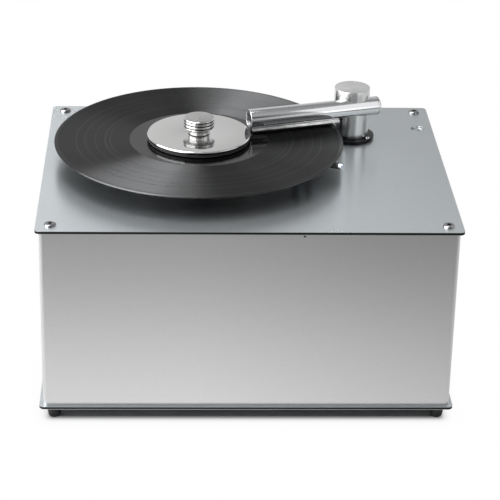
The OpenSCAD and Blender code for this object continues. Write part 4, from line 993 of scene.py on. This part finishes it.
# %% Feet
foot_outline = [(0, 0)]
for i in range(9):
    turn_by = math.radians(90 * i / 8)
    foot_outline.append((6.4 - 3.4 * (1 - math.sin(turn_by)), 3.4 * (1 - math.cos(turn_by))))
foot_outline += [(8.0, 15), (0, 15)]
shape = bmesh.new()
for x, y in corners:
    turn(shape, foot_outline, (x, y), 0, 64)
finish_piece(shape, "rubber_feet", foot_rubber, "cabinet", ["feet"])

# %% [markdown]
# A small rubber roller sits on a long axle under the record's rim. Only the axle's polished
# end and a little of the roller show past the rim from the front.

# %% Edge roller
ROLLER_TURN = math.radians(-22.5)
ROLLER_Z = DECK + 18.4
ROLLER_IN = 144.7
ROLLER_OUT = 153.7
AXLE_END = ROLLER_OUT + 0.3 + 4.3
roller_frame = Matrix.Translation(at(*SPINDLE, 0)) @ Matrix.Rotation(ROLLER_TURN, 4, "Z")


def on_roller(shape, verts):
    bmesh.ops.transform(shape, matrix=roller_frame, verts=verts)


def along_roller(shape, outline, steps=64, round_by=0.0):
    made = turn(shape, outline, (0, MIDDLE_Y), 0, steps, round_by)
    lay = Matrix.Translation(Vector((0, 0, ROLLER_Z * MM))) @ Matrix.Rotation(
        math.radians(90), 4, "Y")
    bmesh.ops.transform(shape, matrix=lay, verts=made)
    on_roller(shape, made)


shape = bmesh.new()
along_roller(shape, ring_outline(3.3, 2.05, ROLLER_IN, ROLLER_OUT), 64, 0.35)
finish_piece(shape, "roller_tyre", mat_rubber, "roller", ["edge_roller"])
shape = bmesh.new()
axle_outline = [(0, 105.8), (1.98, 105.8), (1.98, 124.7), (2.6, 124.7), (2.6, ROLLER_IN - 0.3),
                (1.98, ROLLER_IN - 0.3), (1.98, ROLLER_OUT + 0.3), (3.4, ROLLER_OUT + 0.3),
                (3.4, AXLE_END), (2.6, AXLE_END), (2.3, AXLE_END - 0.5), (0, AXLE_END - 0.5)]
along_roller(shape, axle_outline, 48, 0.22)
finish_piece(shape, "roller_axle_pin", blue_steel, "cabinet", ["roller_axle"])

# %% [markdown]
# The vent plug is a flush button with a dished ring around a low dome. A hollow stem leads down
# from it to the tank.

# %% Vent plug
VENT = (193.0, 268.0)
shape = bmesh.new()
vent_outline = [(5.2, -6), (9.1, -6), (9.1, -3), (7.9, -3), (7.9, 0), (7.2, 0), (7.0, -2.2),
                (5.0, -2.4), (4.4, -1.6), (2.6, -0.9), (0, -0.8)]
turn(shape, vent_outline + [(0, -5.2), (5.2, -5.2), (5.2, -6)], VENT, DECK, 64, 0.2)
turn(shape, ring_outline(5, 3.5, -36.8, -5.2), VENT, DECK, 48)
vent_metal = turned_metal("turned_vent", (0.50, 0.52, 0.53), 0.24, at(*VENT, DECK))
finish_piece(shape, "vent_button", vent_metal, "cabinet", ["vent_plug"])

# %% [markdown]
# The pieces left in the frame already have the right form. Each gets the finish of the real
# one, by swapping the material in its object's slots.

# %% Finishes for the CAD nodes
finishes = {
    top_sheet: ["top_plate"],
    base_sheet: ["base_plate"],
    panel_metal: ["wrap_panel"],
    rear_metal: ["rear_panel"],
    plain_aluminium: ["corner_posts", "bearing_housing", "shaft_coupling", "gearbox_plate"],
    zinc: ["foot_studs", "rear_screws", "bearing_screws", "head_screws", "capacitor_clip",
           "lift_spring"],
    bronze: ["bearing_bush", "clamp_insert", "thrust_collar", "arm_bush"],
    brass: ["gearbox_standoffs"],
    blue_steel: ["spindle_shaft", "motor_output_shaft", "standpipe"],
    black_metal: ["platter", "roller_bracket"],
    mat_rubber: ["platter_mat", "motor_feet"],
    tank_plastic: ["waste_tank", "tank_lid"],
    motor_paint: ["suction_motor", "drive_motor"],
    fan_steel: ["fan_housing"],
    black_plastic: ["suction_elbow", "switch_housings", "mains_inlet"],
    hose_rubber: ["suction_hose"],
    cast_metal: ["gearbox"],
    capacitor_plastic: ["run_capacitor"],
    terminal_plastic: ["terminal_block"],
    rocker_plastic: ["direction_rocker", "vacuum_rocker"],
    nickel: ["drain_valve"],
    lever_coat: ["drain_lever"],
}
for material, names in finishes.items():
    for name in names:
        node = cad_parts[name]
        for place in node.material_slots:
            place.link = "OBJECT"
            place.material = material
print("finished", sum(len(names) for names in finishes.values()), "CAD nodes")

# %% The end
print("end of the scene script")
